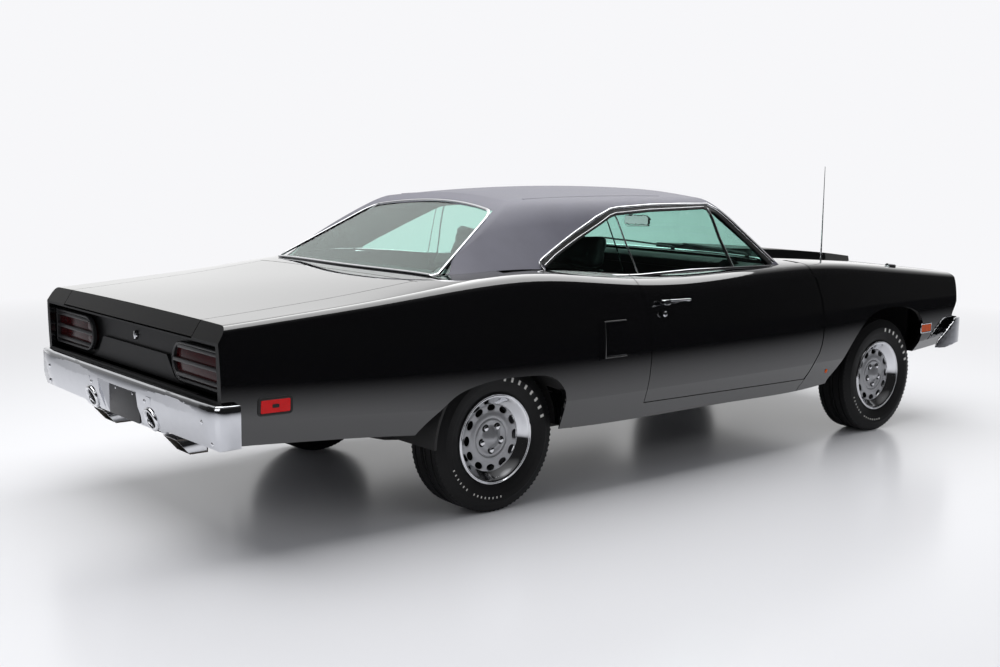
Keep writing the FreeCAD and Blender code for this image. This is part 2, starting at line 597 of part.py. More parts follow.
front_marker = block(wheelbase + 395, wheelbase + 515, -960, -800, 572, 612)
front_marker = front_marker.common(proud).cut([mass])
piece("front_lamps", Part.makeCompound(head_lamps + [front_marker, mirror(front_marker)]))

front_face = nose_x + 24
front_bar = rounded_prism([(-x + front_face + rear_face, y) for x, y in
                           bumper_outline(905, rear_face + 310, rear_face, 0)], "z", 440, 640)
end_side = [(3475, 462), (3503, 510), (3641, 613), (3690, 637), (3740, 637), (FAR, 610), (FAR, 480), (3700, 480),
            (3566, 460)]
front_bar = front_bar.common(prism(end_side, "y", -FAR, FAR))
front_space = rounded_prism([(-x + front_face + rear_face, y) for x, y in
                             bumper_outline(905 - bumper_wall, rear_face + 500, rear_face + bumper_wall, 0)],
                            "z", 400, 700)
bracket = block(3500, front_face - 2, 300, 340, 540, 600).fuse(block(3500, front_face - 2, -340, -300, 540, 600))
front_bumper = front_bar.cut([front_space]).fuse(bracket).cut([mass])
piece("front_bumper", front_bumper)

# Engine bay panels with the radiator
apron_half = size("apron_half")
apron = block(2120, 3480, -apron_half - 14, -apron_half, 400, 800)
apron = apron.fuse([block(2120, 3480, -700, -apron_half, 790, 802), block(2120, 3480, -hood_half + 2, -690, 790, 940)])
radiator = block(3480, 3540, -360, 360, 470, 860)
support = block(3466, 3490, -700, 700, 480, 930)
under_skin = hollow.copy()
under_skin.translate(Vector(0, 0, -8))
bay = apron.fuse([mirror(apron), support, radiator]).common(under_skin)
for x in (2420, 2860, 3300):
    tab = block(x, x + 40, -790, -694, 880, 905).fuse(block(x, x + 40, -790, -718, 900, HIGH).common(hollow))
    bay = bay.fuse([tab, mirror(tab)])
bay = bay.cut([surround])
piece("engine_bay", bay)


def bound(kind, name, **cells):
    """A primitive whose sizes follow cells or formulas of the sheet."""
    thing = doc.addObject(kind, name)
    for key, formula in cells.items():
        thing.setExpression(key.replace("_at_", "Placement.Base."), formula)
    return thing


# Engine, gearbox with propeller shaft, tank
engine = bound("Part::Box", "engine_block", Length="sizes.engine_length", Width="2 * sizes.engine_half",
               Height="sizes.engine_top - sizes.engine_low", _at_x="sizes.rear_axle_x + sizes.engine_x",
               _at_y="-sizes.engine_half", _at_z="sizes.engine_low")
doc.recompute()
engine_round = doc.addObject("Part::Fillet", "engine")
engine_round.Base = engine
engine_round.Edges = [(i + 1, 30.0, 30.0) for i in range(12)]
engine_round.Label = "engine"

gearbox = block(1700, size("engine_x") - seat_gap, -120, 120, 300, 500)
shaft = Part.makeCylinder(38, 1560, Vector(150, 0, 345), Vector(1560, 0, 50))
piece("driveline", gearbox.fuse([shaft]))
tank = block(-1080, -460, -320, 320, 372, 500)
tank = tank.makeFillet(30, tank.Edges)
straps = [block(-1080, -460, y - 20, y + 20, 500, 511.7) for y in (-200, 200)]
piece("fuel_tank", tank.fuse(straps))

# Rear axle on leaf springs
axle_half = size("track_rear") / 2 - size("drum_depth") - seat_gap
axle_tube = Part.makeCylinder(40, 2 * axle_half, Vector(0, -axle_half, hub_z), Vector(0, 1, 0))
backing = [Part.makeCylinder(size("drum_radius") - 6, 8, Vector(0, side * axle_half, hub_z), Vector(0, -side, 0))
           for side in (-1, 1)]
axle_head = Part.makeSphere(135, Vector(0, 0, hub_z)).common(block(-150, 149, -150, 150, 0, HIGH))
springs = []
for side in (-1, 1):
    leaf_line = [(620, 330), (300, 300), (0, 282), (-400, 330), (-760, 430)]
    top = [(x, z + 14) for x, z in leaf_line]
    leaf = prism(leaf_line + top[::-1], "y", side * 520 - 32, side * 520 + 32)
    springs.append(leaf)
    springs.append(block(-60, 60, side * 520 - 40, side * 520 + 40, 284, 310))
    springs.append(block(600, 640, side * 520 - 30, side * 520 + 30, 330, 345))
    springs.append(block(-780, -740, side * 520 - 30, side * 520 + 30, 430, 511.7))
piece("rear_axle", axle_tube.fuse([axle_head] + backing + springs))


def tube(points, radius, bend):
    """Round bar along straight runs joined by tangent arcs."""
    points = [Vector(*p) for p in points]
    edges = []
    start = points[0]
    for before, corner, after in zip(points, points[1:], points[2:]):
        back = (before - corner).normalize()
        on = (after - corner).normalize()
        half_turn = (math.pi - back.getAngle(on)) / 2
        cut = bend * math.tan(half_turn)
        middle = corner + (back + on).normalize() * (bend / math.cos(half_turn) - bend)
        edges.append(Part.makeLine(start, corner + back * cut))
        edges.append(Part.Arc(corner + back * cut, middle, corner + on * cut).toShape())
        start = corner + on * cut
    edges.append(Part.makeLine(start, points[-1]))
    disc = Part.Wire(Part.makeCircle(radius, points[0], points[1] - points[0]))
    return Part.Wire(edges).makePipeShell([disc], True, False)


# Exhaust: two pipes with mufflers, tips at the tail
pipes = []
for side in (-1, 1):
    muffler = Part.makeCylinder(80, 560, Vector(700, side * 250, 262), Vector(1, 0, 0))
    front_pipe = tube([(1255, side * 250, 262), (1900, side * 250, 262), (2430, side * 290, 330)], 28, 150)
    tail_pipe = tube([(705, side * 250, 262), (270, side * 330, 262), (110, side * 390, 482),
                      (-160, side * 390, 484), (-480, side * 460, 420), (-1000, side * 381, 398),
                      (-1250, side * 381, 398)], 27, 120)
    tip_side = [(-1339, 436), (-1279, 367), (-1200, 367), (-1200, 436)]
    tip = prism(tip_side, "y", side * 381 - 62, side * 381 + 62)
    tip = tip.cut([block(-1400, -1240, side * 381 - 57, side * 381 + 57, 372, 431)])
    hanger = block(960, 1000, side * 250 - 15, side * 250 + 15, 330, 380).cut([mass])
    pipes.append(muffler.fuse([front_pipe, tip, tail_pipe, hanger]))
piece("exhaust", Part.makeCompound(pipes))

# Cabin: dashboard with column, seats
dash = prism([(1650, 1000), (1760, 1034), (cowl_x - 32, 1034), (cowl_x - 32, 860), (1760, 800), (1690, 820)],
             "y", -side_depth + 2, side_depth - 2)
wheel_y = 360
column_low = Vector(1990, wheel_y, 760)
column_high = Vector(1520, wheel_y, 960)
column = Part.makeCylinder(28, (column_high - column_low).Length - 28 - seat_gap, column_low, column_high - column_low)
piece("dashboard", dash.fuse(column))
ring = Part.makeTorus(190, 12, Vector(0, 0, 0), Vector(0, 0, 1))
spokes = [block(-190, 190, -14, 14, -40, -30), Part.makeCylinder(40, 50, Vector(0, 0, -48), Vector(0, 0, 1)),
          block(-190, -180, -14, 14, -40, 0), block(180, 190, -14, 14, -40, 0)]
steering = ring.fuse(spokes)
steering_turn = FreeCAD.Rotation(Vector(0, 0, 1), column_high - column_low)
steering.Placement = FreeCAD.Placement(column_high + (column_high - column_low).normalize() * 20, steering_turn)
piece("steering_wheel", steering)

seat_side = [(900, 368.3), (900, 600), (745, 1000), (780, 1060), (850, 1060), (1010, 690), (1420, 700), (1440, 600),
             (1400, 368.3)]
front_seats = [prism(seat_side, "y", y - 250, y + 250) for y in (-425, 425)]
piece("front_seats", Part.makeCompound(front_seats))
rear_side = [(262, 579), (176, 990), (190, 1013), (262, 1013), (350, 700), (660, 680), (672, 600), (650, 368.3),
             (368, 368.3)]
rear_seat = prism(rear_side, "y", -585, 585).cut([tunnel_solid(seat_gap)])
piece("rear_seat", rear_seat)

# Aerial on the right front fender
mast = Part.makeCone(5, 1.5, 568, Vector(2403, -800, 1000), Vector(0, 0, 1)).cut([mass])
piece("antenna", mast)

# Front suspension and knuckles
half = size("knuckle_half")
arms = [block(wheelbase - 60, wheelbase + 60, -400, 400, 236, size("engine_low") - seat_gap)]
for side in (-1, 1):
    tower = block(wheelbase - 60, wheelbase + 60, 380, apron_half - seat_gap, 236, 560)
    arms.append(tower if side > 0 else mirror(tower))
    lower = [(side * 380, 270), (side * pivot, 232), (side * pivot, 210), (side * 380, 236)]
    arms.append(prism(lower, "x", wheelbase - 28, wheelbase + 28))
    arms.append(Part.makeCylinder(14, 26, Vector(wheelbase, side * pivot, 220), Vector(0, 0, 1)))
piece("front_suspension", arms[0].fuse(arms[1:]))
drum_depth = size("drum_depth")
plate_y = size("track_front") / 2 - drum_depth - seat_gap
upright = block(wheelbase - 30, wheelbase + 30, -pivot - half + 2, -pivot + half, 246.3, 470)
plate = Part.makeCylinder(size("drum_radius") - 6, 8, Vector(wheelbase, -plate_y + 8, hub_z), Vector(0, -1, 0))
sided("knuckle", upright.fuse(plate))

# Wheels: rims and tyres turned about their axle
tyre_half = size("tyre_width") / 2
rim_radius = size("rim_radius")
rim_half = size("rim_width") / 2
tyre_radius = size("tyre_radius")
tyre_points = [(rim_radius - 14, -rim_half + 12), (rim_radius + 14, -rim_half), (270, -tyre_half),
               (tyre_radius - 22, -tyre_half + 12), (tyre_radius, -88), (tyre_radius, 88),
               (tyre_radius - 22, tyre_half - 12), (270, tyre_half), (rim_radius + 14, rim_half),
               (rim_radius - 14, rim_half - 12), (rim_radius - 14, 0)]
rim_points = [(rim_radius - 14.3, -rim_half), (rim_radius, -rim_half - 4), (rim_radius, -rim_half - 8),
              (rim_radius - 22, -rim_half - 8), (rim_radius - 30, -rim_half + 30), (150, -20), (90, -46), (60, -20),
              (60, -66), (0, -72), (0, size("drum_depth")), (size("drum_radius"), size("drum_depth")),
              (size("drum_radius"), 12), (150, 14), (rim_radius - 24, 20), (rim_radius - 22, rim_half),
              (rim_radius - 14.3, rim_half)]


def turned(points):
    corners = [Vector(r, y, 0) for r, y in points]
    return Part.Face(Part.makePolygon(corners + corners[:1])).revolve(Vector(0, 0, 0), Vector(0, 1, 0), 360)


slot_round = size("slot_half")
slot = block(size("slot_in") + slot_round, size("slot_out") - slot_round, -80, 11, -slot_round, slot_round)
for r in (size("slot_in") + slot_round, size("slot_out") - slot_round):
    slot = slot.fuse(Part.makeCylinder(slot_round, 91, Vector(r, -80, 0), Vector(0, 1, 0)))
wheel_slots = []
for index in range(12):
    copy = slot.copy()
    copy.rotate(Vector(0, 0, 0), Vector(0, 1, 0), 30 * index)
    wheel_slots.append(copy)

for end, axle_x, track in (("front", wheelbase, size("track_front")), ("rear", 0, size("track_rear"))):
    for name, points in (("rim", rim_points), ("tyre", tyre_points)):
        wheel = turned(points)
        if name == "rim":
            wheel = wheel.cut(wheel_slots)
        wheel.translate(Vector(axle_x, -track / 2, hub_z))
        sided(f"{end}_{name}", wheel)
doc.recompute()

# Every piece is checked, then written
built = [thing for thing in doc.Objects if thing.Label not in ("sizes", "engine_block")]
faults = [thing.Name for thing in doc.Objects if "Invalid" in thing.State or "Error" in thing.State]
faults += [thing.Label for thing in built if thing.Shape.isNull() or not thing.Shape.isValid()]
if faults:
    raise RuntimeError("these did not build: " + ", ".join(faults))
os.makedirs("parts", exist_ok=True)
for thing in built:
    thing.Shape.exportStep(f"parts/{thing.Label}.step")
    print(thing.Label, len(thing.Shape.Solids), round(thing.Shape.Volume / 1e6, 2))
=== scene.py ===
import json
import math

import bmesh
import bpy
import numpy as np
from mathutils import Matrix, Vector

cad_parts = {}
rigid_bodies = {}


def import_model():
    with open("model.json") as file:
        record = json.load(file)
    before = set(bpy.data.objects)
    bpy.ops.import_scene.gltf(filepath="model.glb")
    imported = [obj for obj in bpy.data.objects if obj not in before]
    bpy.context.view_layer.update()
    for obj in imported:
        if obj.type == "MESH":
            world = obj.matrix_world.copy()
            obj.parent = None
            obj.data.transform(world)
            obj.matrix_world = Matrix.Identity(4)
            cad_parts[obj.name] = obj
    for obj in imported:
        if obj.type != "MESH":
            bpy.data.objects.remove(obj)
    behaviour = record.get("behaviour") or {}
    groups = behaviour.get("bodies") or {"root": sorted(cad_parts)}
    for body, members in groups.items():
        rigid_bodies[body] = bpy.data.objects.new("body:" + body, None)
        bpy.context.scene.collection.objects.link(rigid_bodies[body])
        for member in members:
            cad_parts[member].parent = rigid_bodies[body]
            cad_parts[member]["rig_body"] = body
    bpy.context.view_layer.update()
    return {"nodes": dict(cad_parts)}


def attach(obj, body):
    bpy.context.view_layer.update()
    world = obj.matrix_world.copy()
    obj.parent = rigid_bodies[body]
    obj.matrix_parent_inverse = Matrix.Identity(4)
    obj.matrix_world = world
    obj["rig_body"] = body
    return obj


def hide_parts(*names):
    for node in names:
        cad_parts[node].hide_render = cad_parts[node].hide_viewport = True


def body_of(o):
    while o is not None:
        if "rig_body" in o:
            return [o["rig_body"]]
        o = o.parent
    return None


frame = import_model()
nodes = frame["nodes"]

# The view: a fairly long lens at eye height, from behind the car on its right-hand side. Its place, its
# turn and its lens are those at which the car's wheels, lamps and window corners fall where they should.
rear_axle = -1.1855
camera_data = bpy.data.cameras.new("view_camera")
camera_data.lens = 44.287
camera_data.sensor_width = 36.0
camera_data.clip_end = 200.0
camera = bpy.data.objects.new("view_camera", camera_data)
yaw, pitch, roll = 0.8810, -0.1360, 0.0130
forward = Vector((math.cos(pitch) * math.cos(yaw), math.cos(pitch) * math.sin(yaw), math.sin(pitch)))
right = forward.cross(Vector((0, 0, 1))).normalized()
up = right.cross(forward)
right, up = (math.cos(roll) * right + math.sin(roll) * up, math.cos(roll) * up - math.sin(roll) * right)
turn = Matrix((right, up, -forward)).transposed().to_4x4()
camera_place = (-4.6133, -5.0210, 1.5524)
camera.matrix_world = Matrix.Translation(camera_place) @ turn
bpy.context.scene.collection.objects.link(camera)
bpy.context.scene.camera = camera
bpy.context.scene.view_settings.view_transform = "Standard"

# Studio: a large soft box over the car, a white wall behind it and a darker room behind the camera.
# The pale painted floor fades into the white, and keeps the car's shadow and its faint reflection.


def add_light(name, size, energy, place, aim):
    """Rectangular light at a place, turned towards a point."""
    data = bpy.data.lights.new(name, "AREA")
    data.shape = "RECTANGLE"
    data.size, data.size_y = size
    data.energy = energy
    lamp = bpy.data.objects.new(name, data)
    direction = Vector(aim) - Vector(place)
    lamp.matrix_world = Matrix.Translation(place) @ direction.to_track_quat("-Z", "Y").to_matrix().to_4x4()
    bpy.context.scene.collection.objects.link(lamp)
    return lamp


add_light("soft_box", (11.0, 6.0), 520, (0.0, 0.6, 5.2), (0.0, 0.0, 0.0))
add_light("rear_fill", (4.0, 3.0), 60, (-7.5, -2.5, 3.6), (-1.0, 0.0, 0.6))
add_light("side_fill", (8.0, 1.6), 55, (0.5, -7.5, 4.4), (0.0, 0.0, 0.4)).visible_glossy = False

world = bpy.data.worlds.new("studio")
bpy.context.scene.world = world
world.use_nodes = True
tree = world.node_tree
tree.nodes.clear()


def link(tree, source, output, target, socket):
    """Joins an output of one node to a socket of another."""
    tree.links.new(source.outputs[output], target.inputs[socket])


def ramp(tree, stops):
    """Colour ramp with (position, colour) stops."""
    node = tree.nodes.new("ShaderNodeValToRGB")
    elements = node.color_ramp.elements
    while len(elements) < len(stops):
        elements.new(0.5)
    for element, (position, colour) in zip(elements, stops):
        element.position = position
        element.color = (*colour, 1.0)
    return node


def math_node(tree, kind, a, b):
    """Math node whose a and b are numbers or (node, output) pairs."""
    node = tree.nodes.new("ShaderNodeMath")
    node.operation = kind
    for index, value in enumerate((a, b)):
        if isinstance(value, tuple):
            tree.links.new(value[0].outputs[value[1]], node.inputs[index])
        else:
            node.inputs[index].default_value = value
    return node


sky = tree.nodes.new("ShaderNodeTexCoord")
split = tree.nodes.new("ShaderNodeSeparateXYZ")
link(tree, sky, "Generated", split, 0)
ahead = math_node(tree, "MULTIPLY", (split, 0), math.cos(yaw))
toward = math_node(tree, "MULTIPLY_ADD", (split, 1), math.sin(yaw))
link(tree, ahead, 0, toward, 2)
across = math_node(tree, "MULTIPLY_ADD", (toward, 0), 0.5)
across.inputs[2].default_value = 0.5
wall_tones = [(0.0, 0.01), (0.5, 0.012), (0.68, 0.03), (0.8, 0.4), (0.88, 0.8)]
height_tones = [(0.0, 0.0), (0.6, 0.0), (0.85, 0.1), (0.95, 0.6)]
wall_ramp = ramp(tree, [(position, (tone,) * 3) for position, tone in wall_tones])
link(tree, across, 0, wall_ramp, 0)
height_ramp = ramp(tree, [(position, (tone,) * 3) for position, tone in height_tones])
link(tree, split, 2, height_ramp, 0)
lighter = tree.nodes.new("ShaderNodeMix")
lighter.data_type = "RGBA"
lighter.blend_type = "LIGHTEN"
lighter.inputs["Factor"].default_value = 1.0
link(tree, wall_ramp, 0, lighter, "A")
link(tree, height_ramp, 0, lighter, "B")
ray = tree.nodes.new("ShaderNodeLightPath")
bounces = math_node(tree, "ADD", (ray, "Diffuse Depth"), (ray, "Glossy Depth"))
direct = math_node(tree, "LESS_THAN", (bounces, 0), 0.5)
plain = math_node(tree, "MAXIMUM", (ray, "Is Camera Ray"), (ray, "Is Transmission Ray"))
plain = math_node(tree, "MULTIPLY", (plain, 0), (direct, 0))
backdrop = (0.93, 0.93, 0.95, 1.0)
white = tree.nodes.new("ShaderNodeBackground")
white.inputs["Color"].default_value = backdrop
studio = tree.nodes.new("ShaderNodeBackground")
link(tree, lighter, "Result", studio, "Color")
studio.inputs["Strength"].default_value = 1.25
room = tree.nodes.new("ShaderNodeBackground")
room.inputs["Color"].default_value = (0.9, 0.93, 1.0, 1.0)
room.inputs["Strength"].default_value = 0.28
glossy = tree.nodes.new("ShaderNodeMixShader")
link(tree, ray, "Is Glossy Ray", glossy, 0)
link(tree, room, 0, glossy, 1)
link(tree, studio, 0, glossy, 2)
seen = tree.nodes.new("ShaderNodeMixShader")
link(tree, plain, 0, seen, 0)
link(tree, glossy, 0, seen, 1)
link(tree, white, 0, seen, 2)
output = tree.nodes.new("ShaderNodeOutputWorld")
link(tree, seen, 0, output, 0)

floor_mesh = bpy.data.meshes.new("studio_floor")
floor_radius = 40.0
ring = [(floor_radius * math.cos(a), floor_radius * math.sin(a), -0.0005)
        for a in np.linspace(0, 2 * math.pi, 64, endpoint=False)]
floor_mesh.from_pydata(ring, [], [list(range(64))])
floor = bpy.data.objects.new("studio_floor", floor_mesh)
bpy.context.scene.collection.objects.link(floor)


def shaded_material(name, **sockets):
    """New material and its shader, with values set on the shader's sockets."""
    material = bpy.data.materials.new(name)
    material.use_nodes = True
    shader = material.node_tree.nodes["Principled BSDF"]
    for socket, value in sockets.items():
        shader.inputs[socket.replace("_", " ")].default_value = value
    return material, shader


floor_paint, shader = shaded_material("floor_paint", Base_Color=(0.80, 0.80, 0.82, 1.0), Roughness=0.22,
                                      Specular_IOR_Level=0.5)
tree = floor_paint.node_tree
coords = tree.nodes.new("ShaderNodeTexCoord")
length = tree.nodes.new("ShaderNodeVectorMath")
length.operation = "LENGTH"
link(tree, coords, "Object", length, 0)
fade = tree.nodes.new("ShaderNodeMapRange")
fade.inputs["From Min"].default_value = 3.2
fade.inputs["From Max"].default_value = 9.0
link(tree, length, "Value", fade, "Value")
ray = tree.nodes.new("ShaderNodeLightPath")
plain = math_node(tree, "MAXIMUM", (ray, "Is Camera Ray"), (ray, "Is Transmission Ray"))
amount = math_node(tree, "MULTIPLY", (fade, "Result"), (plain, 0))
glow = tree.nodes.new("ShaderNodeEmission")
glow.inputs["Color"].default_value = backdrop
blend = tree.nodes.new("ShaderNodeMixShader")
link(tree, amount, 0, blend, 0)
link(tree, shader, 0, blend, 1)
link(tree, glow, 0, blend, 2)
# For reflections only, the floor on the camera's side turns to an unlit near-black: a painted dark reflection
# along the car's lower flanks
spot = tree.nodes.new("ShaderNodeSeparateXYZ")
link(tree, coords, "Object", spot, 0)
distant = tree.nodes.new("ShaderNodeMapRange")
distant.interpolation_type = "SMOOTHSTEP"
distant.inputs["From Min"].default_value = -1.7
distant.inputs["From Max"].default_value = -4.6
link(tree, spot, "Y", distant, "Value")
gloom = math_node(tree, "MULTIPLY", (distant, "Result"), (ray, "Is Glossy Ray"))
unlit = tree.nodes.new("ShaderNodeEmission")
unlit.inputs["Color"].default_value = (0.012, 0.012, 0.013, 1.0)
darker = tree.nodes.new("ShaderNodeMixShader")
link(tree, gloom, 0, darker, 0)
link(tree, blend, 0, darker, 1)
link(tree, unlit, 0, darker, 2)
link(tree, darker, 0, tree.nodes["Material Output"], 0)
floor_mesh.materials.append(floor_paint)

# Body in pressed steel, sprayed gloss black. The panels are the frame's own; each gets a copy whose
# shading follows the exact curve of the pressing, so that reflections run clean from panel to panel.


def spline(xs, ys):
    """Natural cubic through the points, with its ends held beyond them."""
    xs, ys = np.array(xs, float), np.array(ys, float)
    step = np.diff(xs)
    count = len(xs)
    system = np.eye(count)
    pull = np.zeros(count)
    for i in range(1, count - 1):
        system[i, i - 1:i + 2] = step[i - 1], 2 * (step[i - 1] + step[i]), step[i]
        pull[i] = 6 * ((ys[i + 1] - ys[i]) / step[i] - (ys[i] - ys[i - 1]) / step[i - 1])
    bend = np.linalg.solve(system, pull)

    def at(x):
        x = np.clip(np.asarray(x, float), xs[0], xs[-1])
        i = np.clip(np.searchsorted(xs, x) - 1, 0, count - 2)
        a = (xs[i + 1] - x) / step[i]
        b = (x - xs[i]) / step[i]
        cubic = (a ** 3 - a) * bend[i] + (b ** 3 - b) * bend[i + 1]
        return a * ys[i] + b * ys[i + 1] + cubic * step[i] ** 2 / 6
    return at


# Millimetres, with x forward from the rear axle, as the panels were drawn
body_stations = (-1372, -560, 200, 830, 1500, 2300, 2950, 3770)
body_lines = {
    "low_z": (484, 432, 362, 345, 345, 352, 425, 478),
    "crease_z": (583, 537, 490, 484, 484, 487, 495, 540),
    "wide_y": (898, 932, 958, 962, 958, 946, 916, 872),
    "shoulder_y": (884, 893, 905, 905, 900, 886, 866, 832),
    "shoulder_z": (943, 1006, 1043, 999, 990, 1022, 985, 910),
    "slope": (0.03, 0.1, 0.5, 0.52, 0.52, 0.2, 0.12, 0.1),
    "crown_z": (948, 1030, 1090, 1080, 1075, 1045, 1010, 925),
}
roof_stations = (-330, 0, 246, 560, 1000, 1500, 2250)
roof_lines = {
    "base_y": (735, 806, 834, 842, 844, 843, 835),
    "base_z": (1000, 1015, 1020, 1010, 1005, 1000, 985),
    "edge_y": (430, 560, 575, 640, 688, 690, 700),
    "edge_z": (1080, 1290, 1368, 1388, 1392, 1388, 1350),
    "top_z": (1150, 1330, 1395, 1428, 1444, 1437, 1385),
}
body_line = {name: spline(body_stations, values) for name, values in body_lines.items()}
roof_line = {name: spline(roof_stations, values) for name, values in roof_lines.items()}


def mix(a, b, t):
    """Value or point part of the way from a to b."""
    return a + (b - a) * t


def pair(y, z):
    """Points of a section, one for each x."""
    y, z = np.broadcast_arrays(y, z)
    return np.stack([y, z], -1)


def body_curves(x):
    """Control points of one flank at each x: sill, side, shoulder, top."""
    v = {name: line(x) for name, line in body_line.items()}
    sill = pair(v["wide_y"] - 35, v["low_z"])
    crease = pair(v["wide_y"] - 10, v["crease_z"])
    lower = pair(v["wide_y"] + 2, 640.0)
    upper = pair(v["wide_y"] + 3, 810.0)
    corner = pair(v["shoulder_y"], v["shoulder_z"])
    into = mix(corner, upper, 0.28)
    out = pair(v["shoulder_y"] - 45, v["shoulder_z"] + 45 * v["slope"])
    brow = pair(v["shoulder_y"] - 135, v["shoulder_z"] + 135 * v["slope"])
    crown = pair(0.42 * v["shoulder_y"], v["crown_z"])
    centre = pair(0 * v["crown_z"], v["crown_z"])
    return [[sill, crease], [crease, lower, upper, into], [into, corner, out], [out, brow, crown, centre]]


def roof_curves(x):
    """Control points of one side of the greenhouse at each x."""
    v = {name: line(x) for name, line in roof_line.items()}
    base = pair(v["base_y"], v["base_z"])
    edge = pair(v["edge_y"], v["edge_z"])
    rise = (v["top_z"] - v["edge_z"]) * 1.2 / v["edge_y"]
    into = mix(edge, base, 0.3)
    out = pair(v["edge_y"] - 110, v["edge_z"] + 110 * rise)
    brow = pair(v["edge_y"] - 220, v["edge_z"] + 220 * rise)
    crown = pair(0.4 * v["edge_y"], v["top_z"])
    centre = pair(0 * v["top_z"], v["top_z"])
    return [[base, mix(base, into, 0.5), into], [into, edge, out], [out, brow, crown, centre]]


def sampled(curves, count=26):
    """Points and tangents along a chain of Bezier curves, one row per x."""
    t = np.linspace(0, 1, count)

    def weights(degree):
        terms = [math.comb(degree, k) * t ** k * (1 - t) ** (degree - k) for k in range(degree + 1)]
        return np.stack(terms, -1)

    points, tangents = [], []
    for poles in curves:
        poles = np.stack(poles, -2)
        degree = poles.shape[-2] - 1
        points.append(np.einsum("mk,...kc->...mc", weights(degree), poles))
        tangents.append(np.einsum("mk,...kc->...mc", weights(degree - 1), np.diff(poles, axis=-2)))
    tangents = np.concatenate(tangents, -2)
    return np.concatenate(points, -2), tangents / np.linalg.norm(tangents, axis=-1, keepdims=True)


def skin_distance(curves, x, y, z):
    """Signed distance to the skin in the section at x, and the section's outward normal there."""
    points, tangents = sampled(curves(x), 14)
    target = np.stack([np.abs(y), z], -1)[:, None, :]
    start, along = points[:, :-1], np.diff(points, axis=1)
    reach = np.maximum((along ** 2).sum(-1), 1e-9)
    t = np.clip(((target - start) * along).sum(-1) / reach, 0, 1)
    offset = target - start - along * t[..., None]
    nearest = np.argmin((offset ** 2).sum(-1), 1)
    rows = np.arange(len(x))
    t = t[rows, nearest][:, None]
    tangent = tangents[rows, nearest] * (1 - t) + tangents[rows, nearest + 1] * t
    normal = np.stack([tangent[:, 1], -tangent[:, 0]], -1)
    normal /= np.linalg.norm(normal, axis=1, keepdims=True)
    return (offset[rows, nearest] * normal).sum(1), normal


def skin_normal(curves, x, y, z):
    """Outward normal of the pressed skin near each point."""
    normal = skin_distance(curves, x, y, z)[1]
    nudge = 4.0
    behind, ahead = [skin_distance(curves, x + shift, y, z)[0] for shift in (-nudge, nudge)]
    slope = (ahead - behind) / (2 * nudge)
    full = np.stack([slope, normal[:, 0] * np.sign(y), normal[:, 1]], -1)
    return full / np.linalg.norm(full, axis=1, keepdims=True)


def body_name(node):
    """Name of the body that carries a frame node."""
    found = body_of(nodes[node])
    return found if isinstance(found, str) else found[0]


def add_piece(name, mesh, body, slot, *materials, replaced=()):
    """Puts a finished mesh in the scene as a piece of one body, with its materials."""
    mesh.name = name
    piece = bpy.data.objects.new(name, mesh)
    bpy.context.scene.collection.objects.link(piece)
    mesh.materials.clear()
    for material in materials:
        mesh.materials.append(material)
    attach(piece, body)
    if replaced:
        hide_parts(*replaced)
    return piece


def merged_copy(name):
    """Copy of a frame node's mesh with its loose triangles joined up."""
    mesh = nodes[name].data.copy()
    work = bmesh.new()
    work.from_mesh(mesh)
    bmesh.ops.remove_doubles(work, verts=work.verts, dist=1e-6)
    work.to_mesh(mesh)
    work.free()
    return mesh


def places_of(mesh):
    """Places of a mesh's vertices, one row each."""
    places = np.zeros(len(mesh.vertices) * 3)
    mesh.vertices.foreach_get("co", places)
    return places.reshape(-1, 3)


def panel_copy(name, curves, slot, *materials, slack=2.5):
    """Merged copy of a panel, shaded by the exact skin wherever it lies within the slack of it."""
    mesh = merged_copy(name)
    panel = add_piece(name + "_skin", mesh, body_name(name), slot, *materials, replaced=[name])
    vertices = places_of(mesh)
    corner = np.zeros(len(mesh.loops), int)
    mesh.loops.foreach_get("vertex_index", corner)
    counts = np.array([p.loop_total for p in mesh.polygons])
    owner = np.repeat(np.arange(len(counts)), counts)
    normal = np.array([p.normal for p in mesh.polygons])[owner]
    middle = np.array([p.center for p in mesh.polygons])
    road = vertices * 1000 - (rear_axle * 1000, 0, 0)
    off_skin = np.abs(skin_distance(curves, *road.T)[0]) > slack
    loose = np.zeros(len(counts), bool)
    np.logical_or.at(loose, owner, off_skin[corner])
    loops = np.flatnonzero(~loose[owner])
    inset, closeness = 0.02, 0.85
    place = vertices[corner[loops]] * (1 - inset) + middle[owner[loops]] * inset
    exact = skin_normal(curves, *(place * 1000 - (rear_axle * 1000, 0, 0)).T)
    agrees = (exact * normal[loops]).sum(1) > closeness
    normal[loops[agrees]] = exact[agrees]
    mesh.polygons.foreach_set("use_smooth", np.ones(len(counts), bool))
    mesh.normals_split_custom_set(normal.tolist())
    return panel


